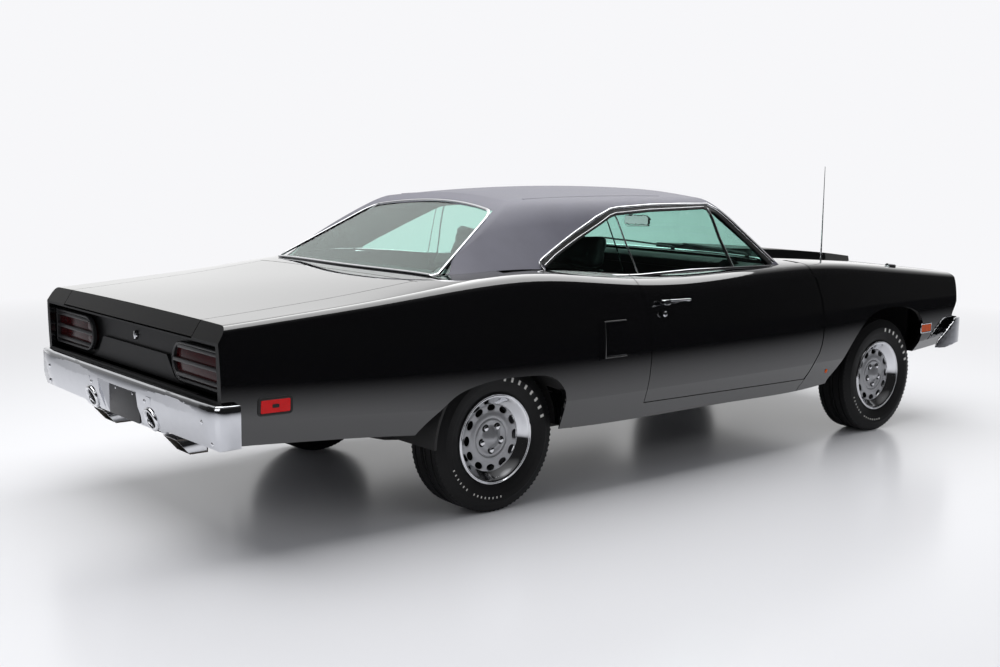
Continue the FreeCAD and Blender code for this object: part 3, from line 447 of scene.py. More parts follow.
def grain_group():
    """Group for fine mottling that varies a colour, a roughness and the surface's height."""
    group = bpy.data.node_groups.new("fine_grain", "ShaderNodeTree")
    sockets = [("Scale", "NodeSocketFloat"), ("Detail", "NodeSocketFloat"), ("Dark", "NodeSocketColor"),
               ("Light", "NodeSocketColor"), ("Smooth", "NodeSocketFloat"), ("Rough", "NodeSocketFloat"),
               ("Relief", "NodeSocketFloat")]
    for name, kind in sockets:
        group.interface.new_socket(name, in_out="INPUT", socket_type=kind)
    for name, kind in (("Colour", "NodeSocketColor"), ("Roughness", "NodeSocketFloat"),
                       ("Normal", "NodeSocketVector")):
        group.interface.new_socket(name, in_out="OUTPUT", socket_type=kind)
    given = group.nodes.new("NodeGroupInput")
    result = group.nodes.new("NodeGroupOutput")
    coords = group.nodes.new("ShaderNodeTexCoord")
    noise = group.nodes.new("ShaderNodeTexNoise")
    link(group, coords, "Object", noise, "Vector")
    link(group, given, "Scale", noise, "Scale")
    link(group, given, "Detail", noise, "Detail")
    colour = group.nodes.new("ShaderNodeMix")
    colour.data_type = "RGBA"
    link(group, noise, 0, colour, "Factor")
    link(group, given, "Dark", colour, "A")
    link(group, given, "Light", colour, "B")
    rough = group.nodes.new("ShaderNodeMapRange")
    link(group, noise, 0, rough, "Value")
    link(group, given, "Smooth", rough, "To Min")
    link(group, given, "Rough", rough, "To Max")
    bump = group.nodes.new("ShaderNodeBump")
    bump.inputs["Distance"].default_value = 0.001
    link(group, noise, 0, bump, "Height")
    link(group, given, "Relief", bump, "Strength")
    link(group, colour, "Result", result, "Colour")
    link(group, rough, "Result", result, "Roughness")
    link(group, bump, "Normal", result, "Normal")
    return group


fine_grain = grain_group()


def finish_material(name, dark, light, smooth, rough, scale, relief, detail=3.0, **sockets):
    """Material whose colour, gloss and fine relief vary; the rest is set on the shader."""
    material, shader = shaded_material(name, **sockets)
    tree = material.node_tree
    grain = tree.nodes.new("ShaderNodeGroup")
    grain.node_tree = fine_grain
    values = {"Scale": scale, "Detail": detail, "Dark": (*dark, 1.0), "Light": (*light, 1.0),
              "Smooth": smooth, "Rough": rough, "Relief": relief}
    for socket, value in values.items():
        grain.inputs[socket].default_value = value
    link(tree, grain, "Colour", shader, "Base Color")
    link(tree, grain, "Roughness", shader, "Roughness")
    if relief:
        link(tree, grain, "Normal", shader, "Normal")
    return material


gloss_black = finish_material("gloss_black", (0.002, 0.002, 0.0025), (0.004, 0.004, 0.0045), 0.03, 0.05, 700,
                              0.004, IOR=1.5, Coat_Weight=1.0, Coat_IOR=1.6, Coat_Roughness=0.015)
cabin_vinyl = finish_material("cabin_vinyl", (0.008, 0.008, 0.009), (0.018, 0.018, 0.019), 0.45, 0.55, 300,
                              0.15)
satin_charcoal = finish_material("satin_charcoal", (0.004, 0.004, 0.0045), (0.008, 0.008, 0.0085), 0.3, 0.38,
                                 500, 0.03, Specular_IOR_Level=0.2)
under_black = finish_material("under_black", (0.012, 0.012, 0.013), (0.03, 0.029, 0.028), 0.55, 0.75, 60, 0.3)

# The tail's recess, the cowl and the hood bulge are charcoal, the sides towards the cabin are trimmed in
# vinyl, and the undersides are black deadener; the rest of every panel is gloss black
charcoal, lining, deadener = 1, 2, 3
tail_edge, shelf_edge = rear_axle - 1.320, rear_axle - 0.22
lining_half, cowl_half, bulge_half = 0.815, 0.6, 0.36
for name in ("body_side_right", "body_side_left", "door_right", "door_left", "front_fender_right",
             "front_fender_left", "cowl", "rear_deck", "trunk_lid", "hood", "front_panel"):
    panel = panel_copy(name, body_curves, "black_paint", gloss_black, satin_charcoal, cabin_vinyl,
                       under_black)
    for face in panel.data.polygons:
        inward = face.normal.y * face.center.y < -0.2
        reach = abs(face.center.y)
        if face.center.x < tail_edge and face.normal.x < -0.4:
            face.material_index = charcoal
        if name.startswith(("door", "body")) and inward and reach < lining_half:
            face.material_index = lining
        if name == "rear_deck" and face.center.z < 1.035 and face.center.x > shelf_edge:
            face.material_index = lining
        if face.normal.z < -0.5 and face.center.z < 0.99 or name == "front_panel" and face.normal.x < 0:
            face.material_index = deadener
        if name == "cowl" and face.normal.z > 0.3 and reach < cowl_half:
            face.material_index = charcoal
        if name == "hood" and face.normal.z > -0.3 and reach < bulge_half:
            x = (face.center.x - rear_axle) * 1000
            rise = face.center.z * 1000 - float(sampled(body_curves(np.array([x])))[0][0, -1, 1])
            if rise > (3 if face.normal.z > 0.7 else -14):
                face.material_index = charcoal

# Vinyl roof covering, charcoal and grained, stretched over the roof pressing and held at its edges by
# the mouldings. Two welded seams run from the back window's upper corners to the windshield.
vinyl, shader = shaded_material("roof_vinyl", Specular_IOR_Level=0.35)
tree = vinyl.node_tree
coords = tree.nodes.new("ShaderNodeTexCoord")
cells = tree.nodes.new("ShaderNodeTexVoronoi")
cells.inputs["Scale"].default_value = 420
link(tree, coords, "Object", cells, "Vector")
mottle = tree.nodes.new("ShaderNodeTexNoise")
mottle.inputs["Scale"].default_value = 9
link(tree, coords, "Object", mottle, "Vector")
tone = ramp(tree, [(0.3, (0.138, 0.137, 0.166)), (0.7, (0.152, 0.151, 0.183))])
link(tree, mottle, 0, tone, 0)
link(tree, tone, "Color", shader, "Base Color")
dull = tree.nodes.new("ShaderNodeMapRange")
dull.inputs["To Min"].default_value = 0.44
dull.inputs["To Max"].default_value = 0.54
link(tree, mottle, 0, dull, "Value")
link(tree, dull, "Result", shader, "Roughness")
bump = tree.nodes.new("ShaderNodeBump")
bump.inputs["Strength"].default_value = 0.25
bump.inputs["Distance"].default_value = 0.0006
link(tree, cells, "Distance", bump, "Height")
link(tree, bump, "Normal", shader, "Normal")
roof_skin = panel_copy("roof", roof_curves, "vinyl", vinyl, cabin_vinyl, slack=4)
shown = [tuple(corner.vector) for corner in roof_skin.data.corner_normals]
for face in roof_skin.data.polygons:
    if face.normal.z < -0.2 or face.normal.y * face.center.y < -0.02:
        face.material_index = 1
    elif abs(face.normal.x) > 0.3 and face.normal.z > 0.3:
        for k in face.loop_indices:
            vertex = roof_skin.data.vertices[roof_skin.data.loops[k].vertex_index]
            x, y, z = (vertex.co - Vector((rear_axle, 0, 0))) * 1000
            spot = np.array([[x], [y], [z]])
            if abs(skin_distance(roof_curves, *spot)[0][0]) < 4:
                shown[k] = tuple(skin_normal(roof_curves, *spot)[0])
roof_skin.data.normals_split_custom_set(shown)


def skin_point(curves, x, y=None, z=None, lift=0.0):
    """Point raised off the right-hand skin at x and a side reach or height, and the skin's normal."""
    points = sampled(curves(np.array([float(x)])), 40)[0][0]
    if z is None:
        order = np.argsort(points[:, 0])
        z = float(np.interp(y, points[order, 0], points[order, 1]))
    else:
        keep = points[:, 0] > 0.5 * points[:, 0].max()
        y = float(np.interp(z, points[keep, 1], points[keep, 0]))
    normal = skin_normal(curves, np.array([float(x)]), np.array([-float(y)]), np.array([float(z)]))[0]
    place = np.array([x, -y, z], float) + lift * normal
    return place / 1000 + (rear_axle, 0, 0), normal


def shade(mesh, angle=35):
    """Smooth shading that keeps edges sharper than the angle."""
    mesh.polygons.foreach_set("use_smooth", np.ones(len(mesh.polygons), bool))
    mesh.set_sharp_from_angle(angle=math.radians(angle))


def mesh_of(work, angle=None):
    """Mesh of the finished work, with smooth shading if an angle for its sharp edges is given."""
    mesh = bpy.data.meshes.new("shape")
    work.to_mesh(mesh)
    work.free()
    if angle:
        shade(mesh, angle)
    return mesh


def sweep(points, normals, width, height, closed=False, crown=0.5, sides=7):
    """Crowned strip along a line of points: a closed tube, flat underneath, width across, height proud."""
    points = np.array(points, float)
    normals = np.array(normals, float)
    ahead = np.roll(points, -1, 0) - np.roll(points, 1, 0)
    if not closed:
        ahead[0] = points[1] - points[0]
        ahead[-1] = points[-1] - points[-2]
    across = np.cross(ahead, normals)
    across /= np.linalg.norm(across, axis=1, keepdims=True)
    proud = np.cross(across, ahead)
    proud /= np.linalg.norm(proud, axis=1, keepdims=True)
    profile = [(-0.5, -0.6)] + [(-0.5 * math.cos(a), (1 - crown) + crown * math.sin(a))
                                for a in np.linspace(0, math.pi, sides)] + [(0.5, -0.6)]
    work = bmesh.new()
    rings = [[work.verts.new(point + side * a * width + out * b * height) for a, b in profile]
             for point, side, out in zip(points, across, proud)]
    pairs = list(zip(rings, rings[1:] + rings[:1])) if closed else list(zip(rings, rings[1:]))
    for ring, following in pairs:
        for k in range(len(profile)):
            after = (k + 1) % len(profile)
            work.faces.new((ring[k], ring[after], following[after], following[k]))
    if not closed:
        work.faces.new(rings[0])
        work.faces.new(rings[-1][::-1])
    bmesh.ops.recalc_face_normals(work, faces=work.faces)
    return mesh_of(work, 35)


def strip(spots, width, height, closed=False, crown=0.5):
    """Crowned strip along (point, normal) spots."""
    return sweep([p for p, n in spots], [n for p, n in spots], width, height, closed, crown)


def joined(meshes):
    """One mesh of several, with each one's material numbers kept."""
    work = bmesh.new()
    for mesh in meshes:
        work.from_mesh(mesh)
    return mesh_of(work)


def mirrored(mesh):
    """Copy on the other side of the car."""
    work = bmesh.new()
    work.from_mesh(mesh)
    for vertex in work.verts:
        vertex.co.y = -vertex.co.y
    bmesh.ops.reverse_faces(work, faces=work.faces)
    return mesh_of(work)


def both_sides(mesh):
    """One mesh of a right-hand part and its mirror image."""
    return joined([mesh, mirrored(mesh)])


seam_rear, seam_front = 430, 1310
seam = []
for x in np.linspace(seam_rear, seam_front, 24):
    reach = mix(505, 560, (x - seam_rear) / (seam_front - seam_rear))
    seam.append(skin_point(roof_curves, x, y=reach, lift=0.3))
seam_mesh = strip(seam, 0.012, 0.0018, crown=0.8)
add_piece("roof_seams", both_sides(seam_mesh), "car_body", "vinyl", vinyl)

# Safety glass, lightly green, in the windshield, back window, doors and quarters; it drops into rubber
# channels that bright mouldings hide.
glass, shader = shaded_material("tinted_glass", Base_Color=(0.66, 0.9, 0.83, 1.0), Roughness=0.0, IOR=1.5,
                                Transmission_Weight=1.0)


def finish_nodes(names, material):
    """Gives pieces of the frame that stay as they are their finish."""
    for name in names:
        nodes[name].data.materials.clear()
        nodes[name].data.materials.append(material)


finish_nodes(("windshield", "rear_window", "quarter_glass", "door_glass_right", "door_glass_left"), glass)

# Bright mouldings round the glass, along the drip rails and on the window sills, in polished stainless
# strip clipped over the edges. Black rubber seals line the side windows inside them.
chrome = finish_material("chrome_plate", (0.78, 0.79, 0.82), (0.84, 0.85, 0.87), 0.04, 0.09, 30, 0.0,
                         Metallic=1.0)
rubber = finish_material("black_rubber", (0.008, 0.008, 0.008), (0.02, 0.02, 0.02), 0.5, 0.65, 300, 0.1)


def spaced(line, pitch):
    """Points about one pitch apart along a line, without its last point."""
    points = []
    for (a0, b0), (a1, b1) in zip(line, line[1:]):
        count = max(2, int(math.hypot(a1 - a0, b1 - b0) / pitch))
        points += [(a0 + (a1 - a0) * t, b0 + (b1 - b0) * t) for t in np.linspace(0, 1, count, endpoint=False)]
    return points


def roof_spots(line, lift=0.5):
    """Points and normals along a line of (x, z) on the side of the greenhouse."""
    return [skin_point(roof_curves, x, z=z, lift=lift) for x, z in spaced(line, 12) + [line[-1]]]


drip_line = [(309, 1113), (326, 1123), (432, 1173), (571, 1239), (724, 1307), (834, 1343), (891, 1350),
             (1119, 1360), (1347, 1362), (1560, 1360)]
pillar_line = [(1560, 1360), (1610, 1332), (1768, 1204), (1852, 1134), (1952, 1050)]
rear_sill = [(318, 1062), (450, 1052), (620, 1038), (741, 1032), (826, 1029)]
door_sill = [(832, 1029), (917, 1028), (1268, 1036), (1596, 1033), (1950, 1029)]
vent_bar = [(1538, 1340), (1562, 1186), (1610, 1030)]
rear_end = [(309, 1113), (302, 1095), (318, 1062)]
mouldings = [(drip_line, 0.012, 0.010), (pillar_line, 0.017, 0.009), (rear_sill, 0.014, 0.008),
             (rear_end, 0.012, 0.006)]
trims = [strip(roof_spots(line), width, height) for line, width, height in mouldings]
add_piece("window_mouldings", both_sides(joined(trims)), "car_body", "bright_metal", chrome)
opening = [(326, 1092), (414, 1138), (577, 1211), (706, 1265), (812, 1311), (857, 1322), (1097, 1336),
           (1323, 1340), (1516, 1344), (1592, 1319), (1745, 1192), (1833, 1121), (1930, 1036)]
channel = [(x + (-6 if x < 850 else 5 if x > 1580 else 0), z + 8) for x, z in opening]
seals = joined([strip(roof_spots(opening), 0.016, 0.004),
                strip(roof_spots(channel, lift=0.3), 0.026, 0.0035, crown=0.1)])
add_piece("window_seals", both_sides(seals), "car_body", "trim_black", rubber)
bead = strip(roof_spots([(x, z + 3) for x, z in opening[:9]], lift=3.5), 0.005, 0.004)
add_piece("window_beads", both_sides(bead), "car_body", "bright_metal", chrome)
glass_edge = [(858, 1318), (874, 1200), (904, 1034)]
door_trims = joined([strip(roof_spots(door_sill), 0.014, 0.008), strip(roof_spots(vent_bar), 0.016, 0.006),
                     strip(roof_spots(glass_edge, lift=-8), 0.007, 0.004)])
add_piece("door_mouldings_right", door_trims, "right_door", "bright_metal", chrome)
add_piece("door_mouldings_left", mirrored(door_trims), "left_door", "bright_metal", chrome)


def screen_x(y, z, front):
    """Reach of the windshield or the back window at one side reach and height."""
    low_mid, low_side, top_mid, top_side = (2327, 2105, 1511, 1320) if front else (-527, -495, 528, 556)
    low_z, top_z, half_width = 900, 1500, 1000
    ends = []
    for mid, side in ((low_mid, low_side), (top_mid, top_side)):
        sag = mid - side
        radius = (half_width * half_width + sag * sag) / (2 * sag)
        ends.append(mid - radius + math.copysign(math.sqrt(radius * radius - y * y), radius))
    return ends[0] + (ends[1] - ends[0]) * (z - low_z) / (top_z - low_z)


def screen_spot(y, z, front, lift=1.0):
    """Point on a screen and its outward normal."""
    place = Vector((screen_x(y, z, front), y, z))
    along = Vector((screen_x(y + 1, z, front) - place.x, 1, 0))
    up = Vector((screen_x(y, z + 1, front) - place.x, 0, 1))
    normal = along.cross(up).normalized()
    if normal.z < 0:
        normal = -normal
    place += normal * lift
    return np.array(place) / 1000 + (rear_axle, 0, 0), np.array(normal)


def deck_height(y, front):
    """Height at which a screen meets the body below it."""
    low, high = 950.0, 1200.0
    for _ in range(24):
        z = (low + high) / 2
        points = sampled(body_curves(np.array([screen_x(y, z, front)])), 30)[0][0]
        order = np.argsort(points[:, 0])
        low, high = (z, high) if z < np.interp(abs(y), points[order, 0], points[order, 1]) else (low, z)
    return z


def screen_moulding(outline, front, width, height):
    """Strip round a screen: up one side, over the top, down the other and along the body."""
    spots = [screen_spot(y, z, front) for y, z in spaced(outline, 15)]
    half = outline[-1][0]
    for y in np.linspace(half, -half, 60, endpoint=False):
        spots.append(screen_spot(y, deck_height(y, front) + 4, front))
    return strip(spots, width, height, closed=True)


back_corner = [(-497 - 35 * (1 - t) ** 2 + 60 * t * t, 1338 - 48 * (1 - t) ** 2 + 4 * t * t)
               for t in np.linspace(0, 1, 8)]
back_top = [(y, 1371 - 29 * (y / 437) ** 2) for y in np.linspace(-400, 400, 17)]
back_outline = [(-688, 1074)] + back_corner + back_top
back_outline += [(-y, z) for y, z in back_corner[::-1]] + [(688, 1074)]
front_outline = [(-742, 1040), (-612, 1335), (-585, 1360), (-550, 1366), (0, 1386), (550, 1366), (585, 1360),
                 (612, 1335), (742, 1040)]
screens = joined([screen_moulding(back_outline, False, 0.014, 0.007),
                  screen_moulding(front_outline, True, 0.016, 0.007)])
add_piece("screen_mouldings", screens, "car_body", "bright_metal", chrome)

# Tail panel in satin charcoal, with a lamp at each end: a deep red lens in a grey bezel, crossed by three
# ribs and screwed on from inside. The lid's lock has a plain oval cover.


def placed(points):
    """Millimetres from the rear axle, turned into places in the frame."""
    return np.array([tuple(p) for p in points], float) / 1000 + (rear_axle, 0, 0)


def slab(outline, axis, low, high, bevel=0.0, segments=2):
    """Solid plate: an outline across one axis, from low to high along it, with rounded edges."""
    def corner(a, b, depth):
        return {"x": (depth, a, b), "y": (a, depth, b), "z": (a, b, depth)}[axis]

    work = bmesh.new()
    rings = [[work.verts.new(place) for place in placed([corner(a, b, depth) for a, b in outline])]
             for depth in (low, high)]
    work.faces.new(rings[0])
    work.faces.new(rings[1][::-1])
    for k in range(len(outline)):
        after = (k + 1) % len(outline)
        work.faces.new((rings[0][k], rings[1][k], rings[1][after], rings[0][after]))
    bmesh.ops.recalc_face_normals(work, faces=work.faces)
    if bevel:
        edges = [e for e in work.edges if e.calc_face_angle(0) > 0.5]
        bmesh.ops.bevel(work, geom=edges, offset=bevel / 1000, segments=segments, profile=0.6, affect="EDGES",
                        clamp_overlap=True)
    return mesh_of(work, 32)


def box_outline(a0, a1, b0, b1, radius=0, fine=4):
    """Rectangle with rounded corners, as a list of points."""
    if not radius:
        return [(a0, b0), (a1, b0), (a1, b1), (a0, b1)]
    out = []
    for a, b, start in ((a1 - radius, b0 + radius, -90), (a1 - radius, b1 - radius, 0),
                        (a0 + radius, b1 - radius, 90), (a0 + radius, b0 + radius, 180)):
        out += [(a + radius * math.cos(math.radians(start + t)),
                 b + radius * math.sin(math.radians(start + t)))
                for t in np.linspace(0, 90, fine)]
    return out


def lathe(profile, centre, axis, segments=32):
    """Solid turned about a line through the centre: (radius, distance along the line) pairs."""
    work = bmesh.new()
    aim = Vector(axis).to_track_quat("Z", "X")
    middle = Vector(placed([centre])[0])
    rings = []
    for radius, along in profile:
        if radius < 1e-6:
            rings.append([work.verts.new(middle + aim @ Vector((0, 0, along / 1000)))])
            continue
        ring = [Vector((radius / 1000 * math.cos(a), radius / 1000 * math.sin(a), along / 1000))
                for a in np.linspace(0, 2 * math.pi, segments, endpoint=False)]
        rings.append([work.verts.new(middle + aim @ place) for place in ring])
    closed = profile[0][0] > 1e-6 or profile[-1][0] > 1e-6
    for ring, following in zip(rings, rings[1:] + (rings[:1] if closed else [])):
        for k in range(segments):
            after = (k + 1) % segments
            corners = [ring[k % len(ring)], ring[after % len(ring)], following[after % len(following)],
                       following[k % len(following)]]
            corners = list(dict.fromkeys(corners))
            if len(corners) > 2:
                work.faces.new(corners)
    bmesh.ops.recalc_face_normals(work, faces=work.faces)
    return mesh_of(work, 32)


lamp_end = 862


def lamp_shape(side, grow=0.0, fine=12):
    """Outline of a tail lamp from behind: square outside, rounded towards the middle."""
    half_height, inner_end, middle = 73, 421, 765
    radius = half_height + grow
    outer = side * (lamp_end + min(grow, 2))
    arc = [(side * (inner_end + half_height - radius * math.cos(a)), middle + radius * math.sin(a))
           for a in np.linspace(-math.pi / 2, math.pi / 2, fine)]
    return arc + [(outer, middle + radius), (outer, middle - radius)]


lens_red = finish_material("lens_red", (0.02, 0.001, 0.0015), (0.045, 0.002, 0.003), 0.12, 0.2, 40, 0.0,
                           Specular_IOR_Level=0.3)
# Paler red for patches on the lenses that are painted reflections
lens_painted_reflection = finish_material("lens_painted_reflection", (0.035, 0.012, 0.014), (0.055, 0.02, 0.023), 0.15, 0.25, 40, 0.0,
                            Specular_IOR_Level=0.3)
bezel_grey = finish_material("bezel_grey", (0.016, 0.016, 0.017), (0.026, 0.026, 0.028), 0.3, 0.4, 200, 0.03)
lenses, pale, bezels = [], [], []
for side in (-1, 1):
    lenses.append(slab(lamp_shape(side, -2), "x", -1322, -1306.5, bevel=2))
    ring_line = [(-1326, y, z) for y, z in lamp_shape(side, 2)]
    bezels.append(sweep(placed(ring_line), [(-1, 0, 0)] * len(ring_line), 0.013, 0.012, closed=True))
    for z, reach in ((826, 466), (768, 424), (712, 446)):
        rib = box_outline(side * reach, side * lamp_end, z - 8, z + 8)
        bezels.append(slab(rib[::side], "x", -1337, -1320, bevel=4))
    # Painted reflections: paler patches at the right lamp's outer end and the left lamp's inner end, as if
    # the lenses caught the bright floor
    inner = 790 if side < 0 else 428
    outer = inner + 70
    for low, high in ((776, 816), (722, 758)):
        flare = [(side * inner, low), (side * outer, low), (side * outer, high), (side * (inner + 12), high)]
        pale.append(slab(flare[::side], "x", -1326, -1320, bevel=1.5))
add_piece("tail_lamp_lenses", joined(lenses), "car_body", "lamp_glass", lens_red, replaced=["rear_lamps"])
add_piece("tail_lamp_windows", joined(pale), "car_body", "lamp_glass", lens_painted_reflection)
add_piece("tail_lamp_bezels", joined(bezels), "car_body", "tail_paint", bezel_grey)
lock_z = 0.812
lock = lathe([(0, 0), (13, 0), (15, 4), (13, 9), (6, 11), (0, 11.5)], (-1306, 0, lock_z * 1000), (-1, 0, 0))
for vertex in lock.vertices:
    vertex.co.z = lock_z + (vertex.co.z - lock_z) * 1.35
add_piece("trunk_lock", lock, "car_body", "bright_metal", chrome)

# Bumpers of pressed steel, chrome plated, each held by round-headed bolts. The rear one has two oval jack
# slots with pressed rims and, between them, a shallow tray with a blank dark plate screwed to it.
bumper_chrome = finish_material("bumper_chrome", (0.6, 0.61, 0.64), (0.66, 0.67, 0.7), 0.06, 0.11, 30, 0.0,
                                Metallic=1.0)
# Near-black and rough: painted shade, set in holes and hollows where only shade would show
painted_hole_shade = finish_material("painted_hole_shade", (0.002, 0.002, 0.002), (0.005, 0.005, 0.005), 0.6, 0.8, 50, 0.0)
finish_nodes(("antenna",), chrome)
bumper_fall = [(400, -1345), (470, -1372), (540, -1396), (590, -1402), (612, -1406), (645, -1400),
               (652, -1390)]


def bumper_x(z):
    """Reach of the rear bumper's outer face at one height."""
    return float(np.interp(z, *zip(*bumper_fall)))


def bumper_bar(name, holes=()):
    """Merged copy of a bumper with openings cut in it and its faces split finely, shaded smooth."""
    mesh = merged_copy(name)
    for hole in holes:
        whole = bpy.data.objects.new("whole", mesh)
        tool = bpy.data.objects.new("tool", hole)
        for thing in (whole, tool):
            bpy.context.scene.collection.objects.link(thing)
        cut = whole.modifiers.new("cut", "BOOLEAN")
        cut.operation = "DIFFERENCE"
        cut.object = tool
        mesh = bpy.data.meshes.new_from_object(whole.evaluated_get(bpy.context.evaluated_depsgraph_get()))
        for thing in (whole, tool):
            bpy.data.objects.remove(thing)
    work = bmesh.new()
    work.from_mesh(mesh)
    row_height, column_width = 0.008, 0.06
    cuts = [((0, 0, z), (0, 0, 1)) for z in np.arange(0.402, 0.66, row_height)]
    cuts += [((0, y, 0), (0, 1, 0)) for y in np.arange(-0.9, 0.91, column_width)]
    for spot, facing in cuts:
        whole = list(work.verts) + list(work.edges) + list(work.faces)
        bmesh.ops.bisect_plane(work, geom=whole, plane_co=spot, plane_no=facing, dist=1e-6)
    bmesh.ops.triangulate(work, faces=work.faces)
    return add_piece(name + "_bar", mesh_of(work, 30), body_name(name), "bright_metal", bumper_chrome,
                     replaced=[name])


rims, holes, backs = [], [], []
slot_y, slot_z, bracket_y = 314, 505, 320
clear_x = -1430
for side in (-1, 1):
    line = []
    for a in np.linspace(0, 2 * math.pi, 36, endpoint=False):
        y, z = slot_y + 48 * math.cos(a), slot_z + 41 * math.sin(a)
        line.append((bumper_x(z), side * y, z))
    rims.append(sweep(placed(line), [(-1, 0, -0.3)] * len(line), 0.02, 0.01, closed=True, crown=0.9))
    holes.append(slab([(y, z) for x, y, z in line[::side]], "x", clear_x, -1366))
    # Behind each slot a near-black plate of painted shade
    backs.append(slab(box_outline(side * slot_y - 54, side * slot_y + 54, 458, 552, 8), "x", -1369, -1366))
holes.append(slab(box_outline(-203, 203, 462, 602), "x", clear_x, -1363))
lower_edge = [(960, 478), (430, 472), (410, 456), (-410, 456), (-430, 472), (-960, 478)]
holes.append(slab([(-960, 380), (960, 380)] + lower_edge, "x", -1500, -1200))

# The brackets' ends are cut flush with the face of the bar
face_line = [(bumper_x(z) - 0.3, z) for z in (530, 540, 590, 606)]
for side in (-1, 1):
    flush = [(clear_x, 530)] + face_line + [(clear_x, 606)]
    holes.append(slab(flush, "y", side * bracket_y - 25, side * bracket_y + 25))
rear_bar = bumper_bar("rear_bumper", holes)

# The way the bar's face looks, in degrees: upwards at each height, and sideways along its rounded ends
bend = [(400, -23), (470, -20), (540, -13), (590, -6), (612, 1), (630, 9), (640, 22), (652, 50)]
round_end = [(780, 0), (820, 4), (870, 12), (900, 32), (915, 54), (926, 76), (931, 90)]
shown = [tuple(corner.vector) for corner in rear_bar.data.corner_normals]
for face in rear_bar.data.polygons:
    x, y, z = (face.center - Vector((rear_axle, 0, 0))) * 1000
    outside = face.normal.x < -0.2 or face.normal.y * y > 0.3 * abs(y)
    if outside and abs(face.normal.z) < 0.8 and (abs(x - bumper_x(z)) < 3 or abs(y) > 820):
        for k in face.loop_indices:
            place = rear_bar.data.vertices[rear_bar.data.loops[k].vertex_index].co * 1000
            turn = math.radians(float(np.interp(abs(place.y), *zip(*round_end))))
            tilt = math.radians(float(np.interp(place.z, *zip(*bend)))) - 0.12 * math.sin(turn)
            sideways = math.copysign(math.cos(tilt) * math.sin(turn), y)
            shown[k] = (-math.cos(tilt) * math.cos(turn), sideways, math.sin(tilt))
rear_bar.data.normals_split_custom_set(shown)
bumper_bar("front_bumper")
tray = bmesh.new()
rings = []
sheet = 2.5
for grow in (0, sheet):
    front = [(bumper_x(z) + grow, y, z) for y, z in box_outline(-205, 205, 460, 604)]
    rings.append([tray.verts.new(p) for p in placed(front)])
    floor_line = [(-1369 + grow, y, z) for y, z in box_outline(-178, 164, 461, 594)]
    rings.append([tray.verts.new(p) for p in placed(floor_line)])
mouth, pan, mouth_back, pan_back = rings
for a, b in ((pan, mouth), (mouth, mouth_back), (mouth_back, pan_back)):
    for k in range(4):
        tray.faces.new((a[k], a[(k + 1) % 4], b[(k + 1) % 4], b[k]))
tray.faces.new(pan)
tray.faces.new(pan_back)
bmesh.ops.recalc_face_normals(tray, faces=tray.faces)
add_piece("plate_tray", mesh_of(tray), "car_body", "bright_metal", bumper_chrome)
add_piece("jack_slot_rims", joined(rims), "car_body", "bright_metal", chrome)
add_piece("jack_slot_backs", joined(backs), "car_body", "trim_black", painted_hole_shade)
bolt_profile = [(0, 0), (10, 0), (10, 1.5), (8, 4), (4, 5.6), (0, 6)]
bolts = [lathe(bolt_profile, (bumper_x(z) + 1, side * y, z), (-1, 0, -0.1), 16)
         for side in (-1, 1) for y, z in ((805, 579), (855, 500), (284, 578))]
add_piece("bumper_bolts", joined(bolts), "car_body", "bright_metal", chrome)
plate_paint = finish_material("plate_paint", (0.03, 0.03, 0.032), (0.05, 0.05, 0.052), 0.35, 0.5, 90, 0.02)
plate = slab(box_outline(-168, 150, 458, 590, 10), "x", -1373.5, -1369.5, bevel=1.2)
add_piece("rear_plate", plate, "car_body", "trim_black", plate_paint)
screws = [lathe([(0, 0), (6, 0), (6, 1.5), (4, 3), (0, 3.4)], (-1373, y, 578), (-1, 0, 0), 12)
          for y in (-99, 81)]
add_piece("rear_plate_screws", joined(screws), "car_body", "bright_metal", chrome)

# Small fittings screwed or clipped to the flanks: marker lamps, a round reflector low on each front
# fender, the rims of the quarter panel's air scoop, and the door handles with their locks.
lens_amber = finish_material("lens_amber", (0.5, 0.06, 0.004), (0.7, 0.1, 0.008), 0.15, 0.25, 60, 0.0,
                             Specular_IOR_Level=0.3)
marker_red = finish_material("marker_red", (0.55, 0.004, 0.006), (0.75, 0.008, 0.01), 0.15, 0.25, 60, 0.0,
                             Specular_IOR_Level=0.3)


def flank_spot(x, z, lift=0.0):
    """Point raised off the right-hand flank, and the flank's normal."""
    return skin_point(body_curves, x, z=z, lift=lift)


def flank_frame(x0, x1, z0, z1, width, height):
    """Closed strip round a rectangle on the flank."""
    spots = [flank_spot(x, z, 0.5) for x, z in box_outline(x0, x1, z0, z1, 8)]
    return strip(spots, width, height, closed=True)


def flank_plate(x0, x1, z0, z1, proud, radius=5):
    """Thin plate lying on the flank."""
    work = bmesh.new()
    line = box_outline(x0, x1, z0, z1, radius, 3)
    inner = [work.verts.new(flank_spot(x, z, -3)[0]) for x, z in line]
    outer = [work.verts.new(flank_spot(x, z, proud)[0]) for x, z in line]
    work.faces.new(inner)
    work.faces.new(outer[::-1])
    for k in range(len(line)):
        after = (k + 1) % len(line)
        work.faces.new((inner[k], outer[k], outer[after], inner[after]))
    bmesh.ops.recalc_face_normals(work, faces=work.faces)
    return mesh_of(work, 30)


